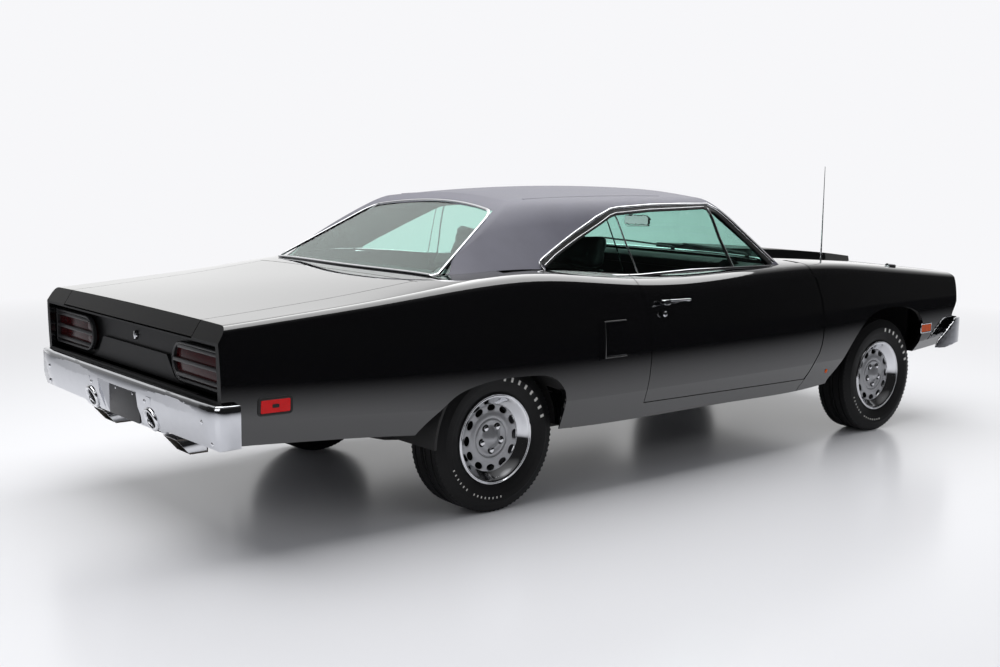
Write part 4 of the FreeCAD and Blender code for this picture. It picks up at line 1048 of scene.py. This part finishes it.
rear_frame = joined([flank_frame(-1210, -1074, 598, 659, 0.012, 0.005),
                     flank_plate(-1156, -1128, 622, 636, 6, 2)])
rear_lens = flank_plate(-1204, -1080, 603, 654, 4.5)
add_piece("rear_marker_bezels", both_sides(rear_frame), "car_body", "trim_black", rubber)
add_piece("rear_markers", both_sides(rear_lens), "car_body", "lamp_glass", marker_red)
front_frame = flank_frame(3324, 3444, 566, 620, 0.008, 0.004)
front_lens = flank_plate(3328, 3440, 571, 615, 4.0)
add_piece("front_marker_bezels", both_sides(front_frame), "car_body", "bright_metal", chrome)
add_piece("front_markers", both_sides(front_lens), "car_body", "lamp_glass", lens_amber)
dot_place, dot_normal = flank_spot(2330, 430, 0)
dot = lathe([(0, -2), (12, -2), (12, 2), (9, 4), (0, 5)], (dot_place - (rear_axle, 0, 0)) * 1000,
            dot_normal, 20)
add_piece("fender_reflectors", both_sides(dot), "car_body", "lamp_glass", lens_amber)
scoop_rims = [strip([flank_spot(552, z, 4.2) for z in np.linspace(664, 838, 10)], 0.022, 0.004)]
for z in (836, 667):
    scoop_rims.append(strip([flank_spot(x, z, 3.6) for x in np.linspace(556, 700, 12)], 0.005, 0.0035))
add_piece("scoop_rims", both_sides(joined(scoop_rims)), "car_body", "black_paint", gloss_black)
sill = slab([(562, -944), (562, -958), (640, -962), (700, -961), (640, -950)], "z", 672.5, 675)
add_piece("scoop_sills", both_sides(sill), "car_body", "bright_metal", chrome)


def door_handle():
    """Pull handle: a base at its rear, a slim blade ahead of it, a lock below."""
    base = slab(box_outline(934, 978, 893, 919, 9), "y", -979, -954, bevel=4, segments=3)
    blade_line = [(970, 909), (1120, 905), (1128, 910), (1122, 916), (970, 919)]
    blade = slab(blade_line, "y", -979, -970, bevel=3, segments=3)
    foot = slab(box_outline(1096, 1122, 903, 916, 5), "y", -975, -954, bevel=2)
    lock = lathe([(0, -4), (13, -4), (14, 2), (11, 5), (5, 6), (0, 6)], (957, -962, 848), (0, -1, 0), 24)
    return joined([base, blade, foot, lock])


handle = door_handle()
add_piece("door_handle_right", handle, "right_door", "bright_metal", chrome)
add_piece("door_handle_left", mirrored(handle), "left_door", "bright_metal", chrome)

# Wheels: a bright trim ring round a painted steel disc with twelve slots, five nuts in dark recesses and a
# domed middle, and a belted tyre with raised white marks. One wheel is made and copied to all four hubs.


def repeat_group():
    """Group that repeats a part, each copy turned and shifted a little further than the last."""
    group = bpy.data.node_groups.new("repeat_part", "GeometryNodeTree")
    for name, kind in (("Part", "NodeSocketObject"), ("Count", "NodeSocketInt"),
                       ("Shift", "NodeSocketVector"),
                       ("First Turn", "NodeSocketFloat"), ("Turn Step", "NodeSocketFloat"),
                       ("Finish", "NodeSocketMaterial")):
        group.interface.new_socket(name, in_out="INPUT", socket_type=kind)
    group.interface.new_socket("Geometry", in_out="OUTPUT", socket_type="NodeSocketGeometry")
    given = group.nodes.new("NodeGroupInput")
    result = group.nodes.new("NodeGroupOutput")
    line = group.nodes.new("GeometryNodeMeshLine")
    link(group, given, "Count", line, "Count")
    link(group, given, "Shift", line, "Offset")
    part = group.nodes.new("GeometryNodeObjectInfo")
    link(group, given, "Part", part, "Object")
    number = group.nodes.new("GeometryNodeInputIndex")
    turn = math_node(group, "MULTIPLY_ADD", (number, 0), (given, "Turn Step"))
    link(group, given, "First Turn", turn, 2)
    spin = group.nodes.new("ShaderNodeCombineXYZ")
    link(group, turn, 0, spin, "Y")
    copies = group.nodes.new("GeometryNodeInstanceOnPoints")
    link(group, line, 0, copies, "Points")
    link(group, part, "Geometry", copies, "Instance")
    link(group, spin, 0, copies, "Rotation")
    real = group.nodes.new("GeometryNodeRealizeInstances")
    link(group, copies, 0, real, 0)
    paint = group.nodes.new("GeometryNodeSetMaterial")
    link(group, real, 0, paint, "Geometry")
    link(group, given, "Finish", paint, "Material")
    link(group, paint, 0, result, 0)
    return group


repeat_part = repeat_group()


def repeated(mesh, count, material, shift=(0, 0, 0), first=0.0, step=0.0):
    """Mesh of a part repeated along a line or round the Y axis, with angles in degrees."""
    part = bpy.data.objects.new("repeat_source", mesh)
    holder = bpy.data.objects.new("repeat_holder", bpy.data.meshes.new("holder"))
    for thing in (part, holder):
        bpy.context.scene.collection.objects.link(thing)
    modifier = holder.modifiers.new("repeat", "NODES")
    modifier.node_group = repeat_part
    values = {"Part": part, "Count": count, "Shift": shift, "First Turn": math.radians(first),
              "Turn Step": math.radians(step), "Finish": material}
    for item in repeat_part.interface.items_tree:
        if item.in_out == "INPUT":
            modifier[item.identifier] = values[item.name]
    made = bpy.data.meshes.new_from_object(holder.evaluated_get(bpy.context.evaluated_depsgraph_get()))
    holder.modifiers.clear()
    for thing in (part, holder):
        bpy.data.objects.remove(thing)
    made.materials.clear()
    return made


def hub_lathe(profile, segments=64):
    """Part turned about a right-hand wheel's axle, at the frame's origin; distances run outboard."""
    return lathe(profile, (-rear_axle * 1000, 0, 0), (0, -1, 0), segments)


def hub_slab(outline, low, high, bevel=1.0):
    """Plate across the axle, at the frame's origin, from low to high outboard."""
    return slab([(x - rear_axle * 1000, z) for x, z in outline], "y", -high, -low, bevel)


trim_ring = hub_lathe([(207, 84), (208.5, 92), (206, 96.5), (202.5, 97), (200.5, 94.5), (198.5, 94.5),
                       (196, 96.5), (193, 96), (189, 92.5), (183, 86), (175, 77.5), (166, 69), (158, 62),
                       (153, 58), (150, 55), (149, 51), (152, 50), (162, 58), (176, 71), (187, 81)], 96)
disc_line = [(158, 48), (156.5, 54), (155, 57.5), (154, 58.5), (143.5, 58.2), (133, 57.4), (122.5, 57),
             (118, 57), (113, 57.8), (107, 59.4), (98, 60.4), (91, 60), (89, 57), (86, 57), (84.5, 60.6),
             (77, 61), (68, 59.6), (58, 58.4), (50, 60), (44, 63), (37, 68), (29, 75), (19, 81.5),
             (9, 84.8), (2, 85.4)]
sector = (-9.6, -3.3, 3.3, 9.6, 11.4, 13.2, 15.0, 16.8, 18.6)


def slotted_disc():
    """Pressed disc with twelve rounded openings between two of its rings, given thickness and smoothed."""
    work = bmesh.new()
    slots, first, last = 12, 3, 6
    middle = (disc_line[first][0] + disc_line[last][0]) / 2
    reach = (disc_line[first][0] - disc_line[last][0]) / 2
    radii, rises = zip(*disc_line[::-1])
    grid = []
    for row, (r, along) in enumerate(disc_line):
        ring = []
        for k in range(slots):
            for column, angle in enumerate(sector):
                radius = r
                if first <= row <= last and column < 4:
                    u, v = angle / sector[3], (r - middle) / reach
                    angle = sector[3] * u * math.sqrt(1 - v * v / 2)
                    radius = middle + reach * v * math.sqrt(1 - u * u / 2)
                turn = math.radians(360 / slots * k + angle)
                rise = float(np.interp(radius, radii, rises)) / 1000
                radius /= 1000
                ring.append(work.verts.new((radius * math.cos(turn), -rise, radius * math.sin(turn))))
        grid.append(ring)
    for row in range(len(disc_line) - 1):
        for k in range(len(grid[0])):
            if first <= row < last and k % len(sector) < 3:
                continue
            after = (k + 1) % len(grid[0])
            work.faces.new((grid[row][k], grid[row][after], grid[row + 1][after], grid[row + 1][k]))
    work.faces.new(grid[-1])
    bmesh.ops.recalc_face_normals(work, faces=work.faces)
    return shaped(mesh_of(work), thickness=0.004, levels=1)


def shaped(mesh, thickness=0.0, levels=0, voxel=0.0):
    """Mesh given a thickness, remeshed or subdivided, whichever is asked for."""
    holder = bpy.data.objects.new("shaping", mesh)
    bpy.context.scene.collection.objects.link(holder)
    if thickness:
        solid = holder.modifiers.new("solid", "SOLIDIFY")
        solid.thickness = thickness
        solid.offset = 0.0
    if voxel:
        remesh = holder.modifiers.new("remesh", "REMESH")
        remesh.mode = "VOXEL"
        remesh.voxel_size = voxel
    if levels:
        smooth = holder.modifiers.new("smooth", "SUBSURF")
        smooth.levels = levels
    made = bpy.data.meshes.new_from_object(holder.evaluated_get(bpy.context.evaluated_depsgraph_get()))
    bpy.data.objects.remove(holder)
    shade(made, 60)
    return made


argent = finish_material("argent_paint", (0.38, 0.385, 0.4), (0.45, 0.455, 0.47), 0.26, 0.33, 900, 0.01,
                         Metallic=0.55)
tyre_black = finish_material("tyre_black", (0.004, 0.004, 0.0045), (0.009, 0.009, 0.0095), 0.5, 0.66, 220,
                             0.12, Specular_IOR_Level=0.28)
mark_white = finish_material("mark_white", (0.62, 0.61, 0.58), (0.74, 0.73, 0.7), 0.5, 0.6, 300, 0.05)
nut_circle, nut_radius, recess_radius = 57, 13.5, 19
hexagon = [(nut_circle + nut_radius * math.cos(math.radians(a)), nut_radius * math.sin(math.radians(a)))
           for a in range(0, 360, 60)]
nuts = repeated(hub_slab(hexagon, 52, 70, 4), 5, chrome, first=18, step=72)
# Painted shade: near-black discs round the nuts, and a near-black dish behind the disc that shows through its
# slots
circle = [(nut_circle + recess_radius * math.cos(a), recess_radius * math.sin(a))
          for a in np.linspace(0, 2 * math.pi, 20, endpoint=False)]
recess = repeated(hub_slab(circle, 50, 62.6, 1.2), 5, painted_hole_shade, first=18, step=72)
back_dish = hub_lathe([(0, -30), (130, -30), (150, -20), (158, 2), (156, 4), (148, -14), (128, -22),
                       (0, -22)], 48)
inner_barrel = hub_lathe([(186, -92), (196, -92), (196, -80), (190, -74), (190, 60), (186, 60)], 64)
tyre_side = [(196, 78), (207, 87), (214, 92), (228, 99), (246, 104.5), (256, 106), (258, 107), (288, 106),
             (290, 104.5), (304, 101), (316, 95.5), (324, 91.5), (331, 88)]
tread = [(334.8, 83.5), (335.8, 62), (328, 60), (328, 54), (335.9, 52), (335.9, 20), (328, 18), (328, 12),
         (335.9, 10)]
half_line = tyre_side + tread
other_half = [(r, -along) for r, along in half_line[:-1]]
carcass = hub_lathe(half_line + other_half[::-1] + [(190, -60), (190, 60)], 96)
block_line = [(322, -5.2), (334.4, -5.6), (334.4, 5.6), (322, 5.2)]
block_count = 84
blocks = [repeated(hub_slab(block_line, low, low + 10, 2.5), block_count, tyre_black, step=360 / block_count)
          for low in (80, -90)]
tall = hub_slab([(263, -6), (284, -6.6), (284, 6.6), (263, 6)], 104, 107.8, 0.8)
short = hub_slab([(262, -2.6), (272, -2.8), (272, 2.8), (262, 2.6)], 104, 107.8, 0.6)
marks = joined([repeated(tall, 8, mark_white, first=-82, step=9.4),
                repeated(short, 8, mark_white, first=85, step=4.9),
                repeated(short, 6, mark_white, first=130, step=5.2)])
wheel_parts = [("trim_ring", trim_ring, "bright_metal", chrome, "rim"),
               ("wheel_disc", joined([slotted_disc(), inner_barrel]), "wheel_paint", argent, None),
               ("wheel_nuts", nuts, "bright_metal", chrome, None),
               ("wheel_recesses", joined([recess, back_dish]), "trim_black", painted_hole_shade, None),
               ("tyre", joined([carcass, *blocks]), "tyre_rubber", tyre_black, "tyre"),
               ("tyre_marks", marks, "tyre_rubber", mark_white, None)]
hub_height, wheelbase = 0.336, 2.946
for end, reach, half_track in (("front", rear_axle + wheelbase, 0.758), ("rear", rear_axle, 0.752)):
    for side, way in (("right", -1), ("left", 1)):
        for name, mesh, slot, material, node in wheel_parts:
            copy = mirrored(mesh) if way > 0 else mesh.copy()
            copy.transform(Matrix.Translation((reach, way * half_track, hub_height)))
            shade(copy, 32)
            add_piece(f"{name}_{end}_{side}", copy, f"{end}_{side}_wheel", slot, material,
                      replaced=[f"{end}_{node}_{side}"] if node else ())

# Front end: four round lamps, each a fluted glass over a bright bowl and held by a bright ring, in a
# moulded black grille whose thin upright fins stand a little proud of it.
lamp_bowl = finish_material("lamp_bowl", (0.7, 0.7, 0.72), (0.8, 0.8, 0.82), 0.12, 0.2, 60, 0.0, Metallic=1.0)
lamp_glass, shader = shaded_material("lamp_glass", Base_Color=(0.96, 0.97, 0.97, 1.0), Roughness=0.03,
                                     Transmission_Weight=0.9)
tree = lamp_glass.node_tree
coords = tree.nodes.new("ShaderNodeTexCoord")
flutes = tree.nodes.new("ShaderNodeTexWave")
flutes.inputs["Scale"].default_value = 60
flutes.bands_direction = "Y"
link(tree, coords, "Object", flutes, "Vector")
bump = tree.nodes.new("ShaderNodeBump")
bump.inputs["Strength"].default_value = 0.5
bump.inputs["Distance"].default_value = 0.002
link(tree, flutes, "Color", bump, "Height")
link(tree, bump, "Normal", shader, "Normal")
bowl_line = [(0, -8), (84, -8), (84, 34), (70, 30), (58, 12), (30, 2), (0, 0)]
cover_line = [(0, 30), (70, 30), (72, 36), (60, 42), (36, 46), (0, 48)]
ring_line = [(72, 30), (84.5, 30), (84.5, 44), (80, 49), (74, 46)]
centres = [(3665, y, 760) for y in (-735, -560, 560, 735)]
bowls, covers, rings = [joined([lathe(line, centre, (1, 0, 0), segments) for centre in centres])
                        for line, segments in ((bowl_line, 40), (cover_line, 40), (ring_line, 48))]
add_piece("head_lamp_bowls", bowls, "car_body", "bright_metal", lamp_bowl, replaced=["front_lamps"])
add_piece("head_lamp_glasses", covers, "car_body", "front_lamp_glass", lamp_glass)
add_piece("head_lamp_rings", rings, "car_body", "bright_metal", chrome)
grille_black = finish_material("grille_black", (0.012, 0.012, 0.013), (0.03, 0.03, 0.031), 0.35, 0.5, 300,
                               0.03)
finish_nodes(("grille",), grille_black)
fin = slab(box_outline(3676, 3700, 658, 862, 3), "y", -1.2, 1.2, 0.4)
fin_count, fin_pitch = 21, 0.04
fins = repeated(fin, fin_count, grille_black, shift=(0, fin_pitch, 0))
fins.transform(Matrix.Translation((0, -0.4, 0)))
add_piece("grille_fins", fins, "car_body", "grille_plastic", grille_black)

# On the fenders two bright turn-signal housings, screwed down from below. At the foot of the windshield
# two wipers, each a thin arm with its blade on a spindle.
signal_y = 815
signal_spots = [skin_point(body_curves, x, y=signal_y, lift=2) for x in (3040, 3060, 3090, 3110)]
signal = strip(signal_spots, 0.03, 0.016, crown=0.9)
add_piece("fender_signals_right", signal, "car_body", "bright_metal", chrome)
add_piece("fender_signals_left", mirrored(signal), "car_body", "bright_metal", chrome)
wipers = []
for pivot_y, tip_y in ((-560, -60), (60, 560)):
    arm = []
    for t in np.linspace(0, 1, 12):
        y = mix(pivot_y, tip_y, t)
        arm.append(screen_spot(y, deck_height(y, True) + 16 + 26 * t, True, lift=10))
    wipers.append(strip(arm, 0.009, 0.006))
    spot, normal = screen_spot(pivot_y, deck_height(pivot_y, True) + 10, True, lift=0)
    spindle = [(0, -2), (11, -2), (11, 10), (7, 14), (0, 15)]
    wipers.append(lathe(spindle, (spot - (rear_axle, 0, 0)) * 1000, normal, 20))
add_piece("wipers", joined(wipers), "car_body", "trim_black", rubber)

# Seats: foam pads under black vinyl with sewn channels, on dark moulded bases. Each pad is inflated by a
# short cloth run from a slightly small form, and the channels are pressed in after it.
seat_vinyl = finish_material("seat_vinyl", (0.01, 0.01, 0.011), (0.022, 0.022, 0.024), 0.38, 0.5, 420, 0.25,
                             Coat_Weight=0.15, Coat_Roughness=0.3)
seat_base = finish_material("seat_base", (0.008, 0.008, 0.008), (0.018, 0.018, 0.019), 0.5, 0.6, 160, 0.1)


def inflated(mesh, voxel):
    """The form swollen by air pressure, no point moving further than the limit."""
    mesh = shaped(mesh, voxel=voxel)
    limit, last_frame = 0.012, 20
    start = places_of(mesh)
    pad = bpy.data.objects.new("pad", mesh)
    bpy.context.scene.collection.objects.link(pad)
    cloth = pad.modifiers.new("cloth", "CLOTH")
    cloth.settings.use_pressure = True
    cloth.settings.uniform_pressure_force = 4
    cloth.settings.effector_weights.gravity = 0
    cloth.point_cache.frame_start = 1
    cloth.point_cache.frame_end = last_frame
    for number in range(1, last_frame + 1):
        bpy.context.scene.frame_set(number)
    blown = bpy.data.meshes.new_from_object(pad.evaluated_get(bpy.context.evaluated_depsgraph_get()))
    bpy.context.scene.frame_set(1)
    bpy.data.objects.remove(pad)
    move = places_of(blown) - start
    far = np.linalg.norm(move, axis=1, keepdims=True)
    place = start + move * np.minimum(1, limit / np.maximum(far, 1e-9))
    blown.vertices.foreach_set("co", place.ravel())
    return blown


def channelled(mesh, middle_y, half, pitch, facing):
    """Lengthways sewn channels pressed into the side of a pad that faces one way."""
    mesh = shaped(mesh, levels=1)
    depth, groove_width = 0.006, 0.007
    place = places_of(mesh)
    normal = np.zeros(len(mesh.vertices) * 3)
    mesh.vertices.foreach_get("normal", normal)
    normal = normal.reshape(-1, 3)
    across = (place[:, 1] - middle_y) / pitch
    groove = np.exp(-((across - np.round(across)) * pitch / groove_width) ** 2)
    inside = np.clip((half - np.abs(place[:, 1] - middle_y)) / 0.02, 0, 1)
    shown = np.clip((normal @ np.array(facing) - 0.5) * 4, 0, 1)
    place -= normal * (groove * inside * shown * depth)[:, None]
    mesh.vertices.foreach_set("co", place.ravel())
    shade(mesh, 80)
    return mesh


front_reach = (-660, -190)
rear_reach = (-572, 572)
pad_forms = [
    ("front_cushion", [(968, 600), (1420, 606), (1424, 668), (1400, 692), (1010, 682), (972, 660)],
     front_reach, 0.016, (-0.425, 0.18, 0.06, (0, 0, 1))),
    ("front_backrest", [(925, 640), (1000, 688), (852, 1046), (812, 1050), (776, 1010)],
     front_reach, 0.016, (-0.425, 0.18, 0.06, (0.92, 0, 0.38))),
    ("head_pad", [(806, 1040), (866, 1196), (902, 1206), (930, 1186), (894, 1048)],
     (-590, -260), 0.016, None),
    ("rear_cushion", [(300, 560), (655, 560), (662, 640), (640, 672), (360, 690), (310, 660)],
     rear_reach, 0.02, (0.0, 0.5, 0.07, (0, 0, 1))),
    ("rear_backrest", [(270, 660), (338, 700), (262, 1000), (206, 1000), (210, 940)],
     rear_reach, 0.02, (0.0, 0.5, 0.07, (0.95, 0, 0.25)))]
replaced_by = {"front_cushion_right": ["front_seats"], "rear_cushion": ["rear_seat"]}
for pad_name, outline, (low, high), voxel, channels in pad_forms:
    cushion = inflated(slab(outline, "y", low, high, 26, 3), voxel)
    if channels:
        cushion = channelled(cushion, *channels)
    if pad_name.startswith("rear"):
        cushions = {pad_name: cushion}
    else:
        cushions = {pad_name + "_right": cushion, pad_name + "_left": mirrored(cushion)}
    for name, mesh in cushions.items():
        shade(mesh, 80)
        pad = add_piece(name, mesh, "car_body", "seat_vinyl", seat_vinyl, replaced=replaced_by.get(name, ()))
plinth = slab([(912, 369), (905, 600), (1412, 606), (1396, 369)], "y", -655, -195, 8)
shell_back = slab([(902, 596), (752, 1000), (790, 1048), (806, 1046), (780, 1004), (940, 610)], "y", -655,
                  -195, 4)
rear_plinth = slab([(372, 369), (300, 562), (650, 562), (640, 369)], "y", -580, 580, 6)
bases = joined([both_sides(plinth), both_sides(shell_back), rear_plinth])
add_piece("seat_bases", bases, "car_body", "trim_black", seat_base)

# Dashboard: crash pad over a plain dark fascia, four round dials before the driver, a radio in the middle
# and a glove box on the right. The steering wheel has a bright horn ring; the mirror hangs on a stalk.
dash_grain = finish_material("dash_grain", (0.006, 0.006, 0.007), (0.012, 0.012, 0.013), 0.5, 0.6, 380, 0.2,
                             Specular_IOR_Level=0.2)
finish_nodes(("dashboard", "steering_wheel"), dash_grain)
dial_face = finish_material("dial_face", (0.006, 0.006, 0.007), (0.012, 0.012, 0.013), 0.3, 0.4, 90, 0.0)
dial_rings, dial_faces, pointers = [], [], []
face_tilt = Vector((-1, 0, 0.36)).normalized()
for y, z, radius in ((250, 925, 26), (322, 925, 44), (420, 925, 44), (494, 925, 26)):
    x = 1690 - (z - 820) * 40 / 180 - 3
    dial_rings.append(lathe([(radius, 0), (radius + 5, 0), (radius + 5, 7), (radius + 2, 10), (radius, 7)],
                            (x, y, z), face_tilt, 32))
    dial_faces.append(lathe([(0, 0), (radius, 0), (radius, 4), (0, 4)], (x, y, z), face_tilt, 32))
    pointers.append(slab([(y - 1, z), (y + 1, z), (y + radius * 0.55, z + radius * 0.6)], "x", x - 8, x - 5))
add_piece("dial_rings", joined(dial_rings), "car_body", "bright_metal", chrome)
add_piece("dial_faces", joined(dial_faces), "car_body", "trim_black", dial_face)
add_piece("dial_pointers", joined(pointers), "car_body", "trim_black", mark_white)
pad_line = [(1646, 1001), (1650, 1044), (1690, 1064), (1770, 1064), (1830, 1036), (1752, 1031)]
add_piece("crash_pad", slab(pad_line, "y", -690, 690, 8, 3), "car_body", "trim_black", dash_grain)
radio = slab(box_outline(-80, 80, 900, 950, 6), "x", 1650, 1668, 3)
glove_box = slab(box_outline(-620, -250, 880, 985, 14), "x", 1656, 1676, 4)
add_piece("radio_and_glove_box", joined([radio, glove_box]), "car_body", "trim_black", dash_grain)
knobs = [lathe([(0, 0), (9, 0), (9, 12), (6, 15), (0, 16)], (1650, y, 925), (-1, 0, 0.2), 20)
         for y in (-62, 62)]
add_piece("radio_knobs", joined(knobs), "car_body", "bright_metal", chrome)
wheel_middle = Vector((1520, 360, 960))
axis = Vector((-470, 0, 200)).normalized()
horn = lathe([(118, 0), (124, 0), (124, 6), (118, 6)], wheel_middle - 4 * axis, axis, 48)
button = lathe([(0, 0), (34, 0), (34, 10), (26, 18), (0, 21)], wheel_middle - 2 * axis, axis, 32)
add_piece("horn_ring", joined([horn, button]), "steering_wheel", "bright_metal", chrome)
mirror_case = slab(box_outline(-178, 14, 1228, 1288, 20), "x", 1640, 1654, 4)
mirror_glass = slab(box_outline(-172, 8, 1233, 1283, 16), "x", 1637, 1641, 1)
stalk = sweep(placed([(1650, -40, 1276), (1650, -30, 1320), (1590, -20, 1352)]), [(1, 0, 0)] * 3, 0.012, 0.01)
add_piece("inner_mirror", joined([mirror_case, stalk]), "car_body", "trim_black", dash_grain)
# The mirror glass is silvered and also glows faintly: a painted reflection standing in for what it would
# show, though it is no lamp
silvering_and_painted_glow = finish_material("silvering_and_painted_glow", (0.86, 0.87, 0.88), (0.9, 0.9, 0.91), 0.15, 0.2, 30, 0.0,
                            Emission_Color=(0.85, 0.9, 0.9, 1.0), Emission_Strength=0.55)
add_piece("inner_mirror_glass", mirror_glass, "car_body", "bright_metal", silvering_and_painted_glow)

# Under the body: black sound deadener on the pans, cast and forged parts in dull metal, zinc-dipped tank,
# and dull steel pipes that end in bright slanted tips.
cast_metal = finish_material("cast_metal", (0.03, 0.03, 0.031), (0.07, 0.068, 0.066), 0.5, 0.7, 120, 0.35,
                             Metallic=0.6)
block_paint = finish_material("block_paint", (0.05, 0.05, 0.052), (0.1, 0.1, 0.1), 0.45, 0.6, 90, 0.3,
                              Metallic=0.3)
zinc = finish_material("zinc_dip", (0.2, 0.2, 0.21), (0.32, 0.32, 0.33), 0.35, 0.55, 25, 0.1, Metallic=0.9)
pipe_steel = finish_material("pipe_steel", (0.12, 0.11, 0.1), (0.24, 0.22, 0.2), 0.35, 0.6, 40, 0.15,
                             Metallic=0.9)
finish_nodes(("floor_pan", "engine_bay"), under_black)
finish_nodes(("engine",), block_paint)
finish_nodes(("fuel_tank",), zinc)
finish_nodes(("driveline", "rear_axle", "front_suspension", "knuckle_right", "knuckle_left"), cast_metal)
finish_nodes(("exhaust",), pipe_steel)
finish_nodes(("tail_panel",), satin_charcoal)
tip_y = 381


def exhaust_tip(side):
    """Rectangular sleeve, cut on a slant at its open end."""
    work = bmesh.new()
    loops = []
    for shrink, front in ((0, -1206), (4, -1238)):
        outline = box_outline(-63 + shrink, 63 - shrink, 366 + shrink, 437 - shrink, 12 - shrink, 4)
        slanted = placed([(-1340 + (437 - z) * 0.87, side * tip_y + y, z) for y, z in outline])
        square = placed([(front, side * tip_y + y, z) for y, z in outline])
        loops.append([[work.verts.new(place) for place in line] for line in (slanted, square)])
    (rear, ahead), (rear_in, ahead_in) = loops
    for a, b in ((ahead, rear), (rear, rear_in), (rear_in, ahead_in)):
        for k in range(len(a)):
            after = (k + 1) % len(a)
            work.faces.new((a[k], b[k], b[after], a[after]))
    work.faces.new(ahead)
    work.faces.new(ahead_in[::-1])
    bmesh.ops.recalc_face_normals(work, faces=work.faces)
    return mesh_of(work, 35)


add_piece("exhaust_tips", joined([exhaust_tip(-1), exhaust_tip(1)]), "car_body", "bright_metal", chrome)
# Painted shade: near-black plates set a little inside the tips, where the bores would be in shade
hollows = [slab(box_outline(side * tip_y - 58, side * tip_y + 58, 371, 432, 8), "x", -1237, -1232)
           for side in (-1, 1)]
add_piece("exhaust_bores", joined(hollows), "car_body", "trim_black", painted_hole_shade)
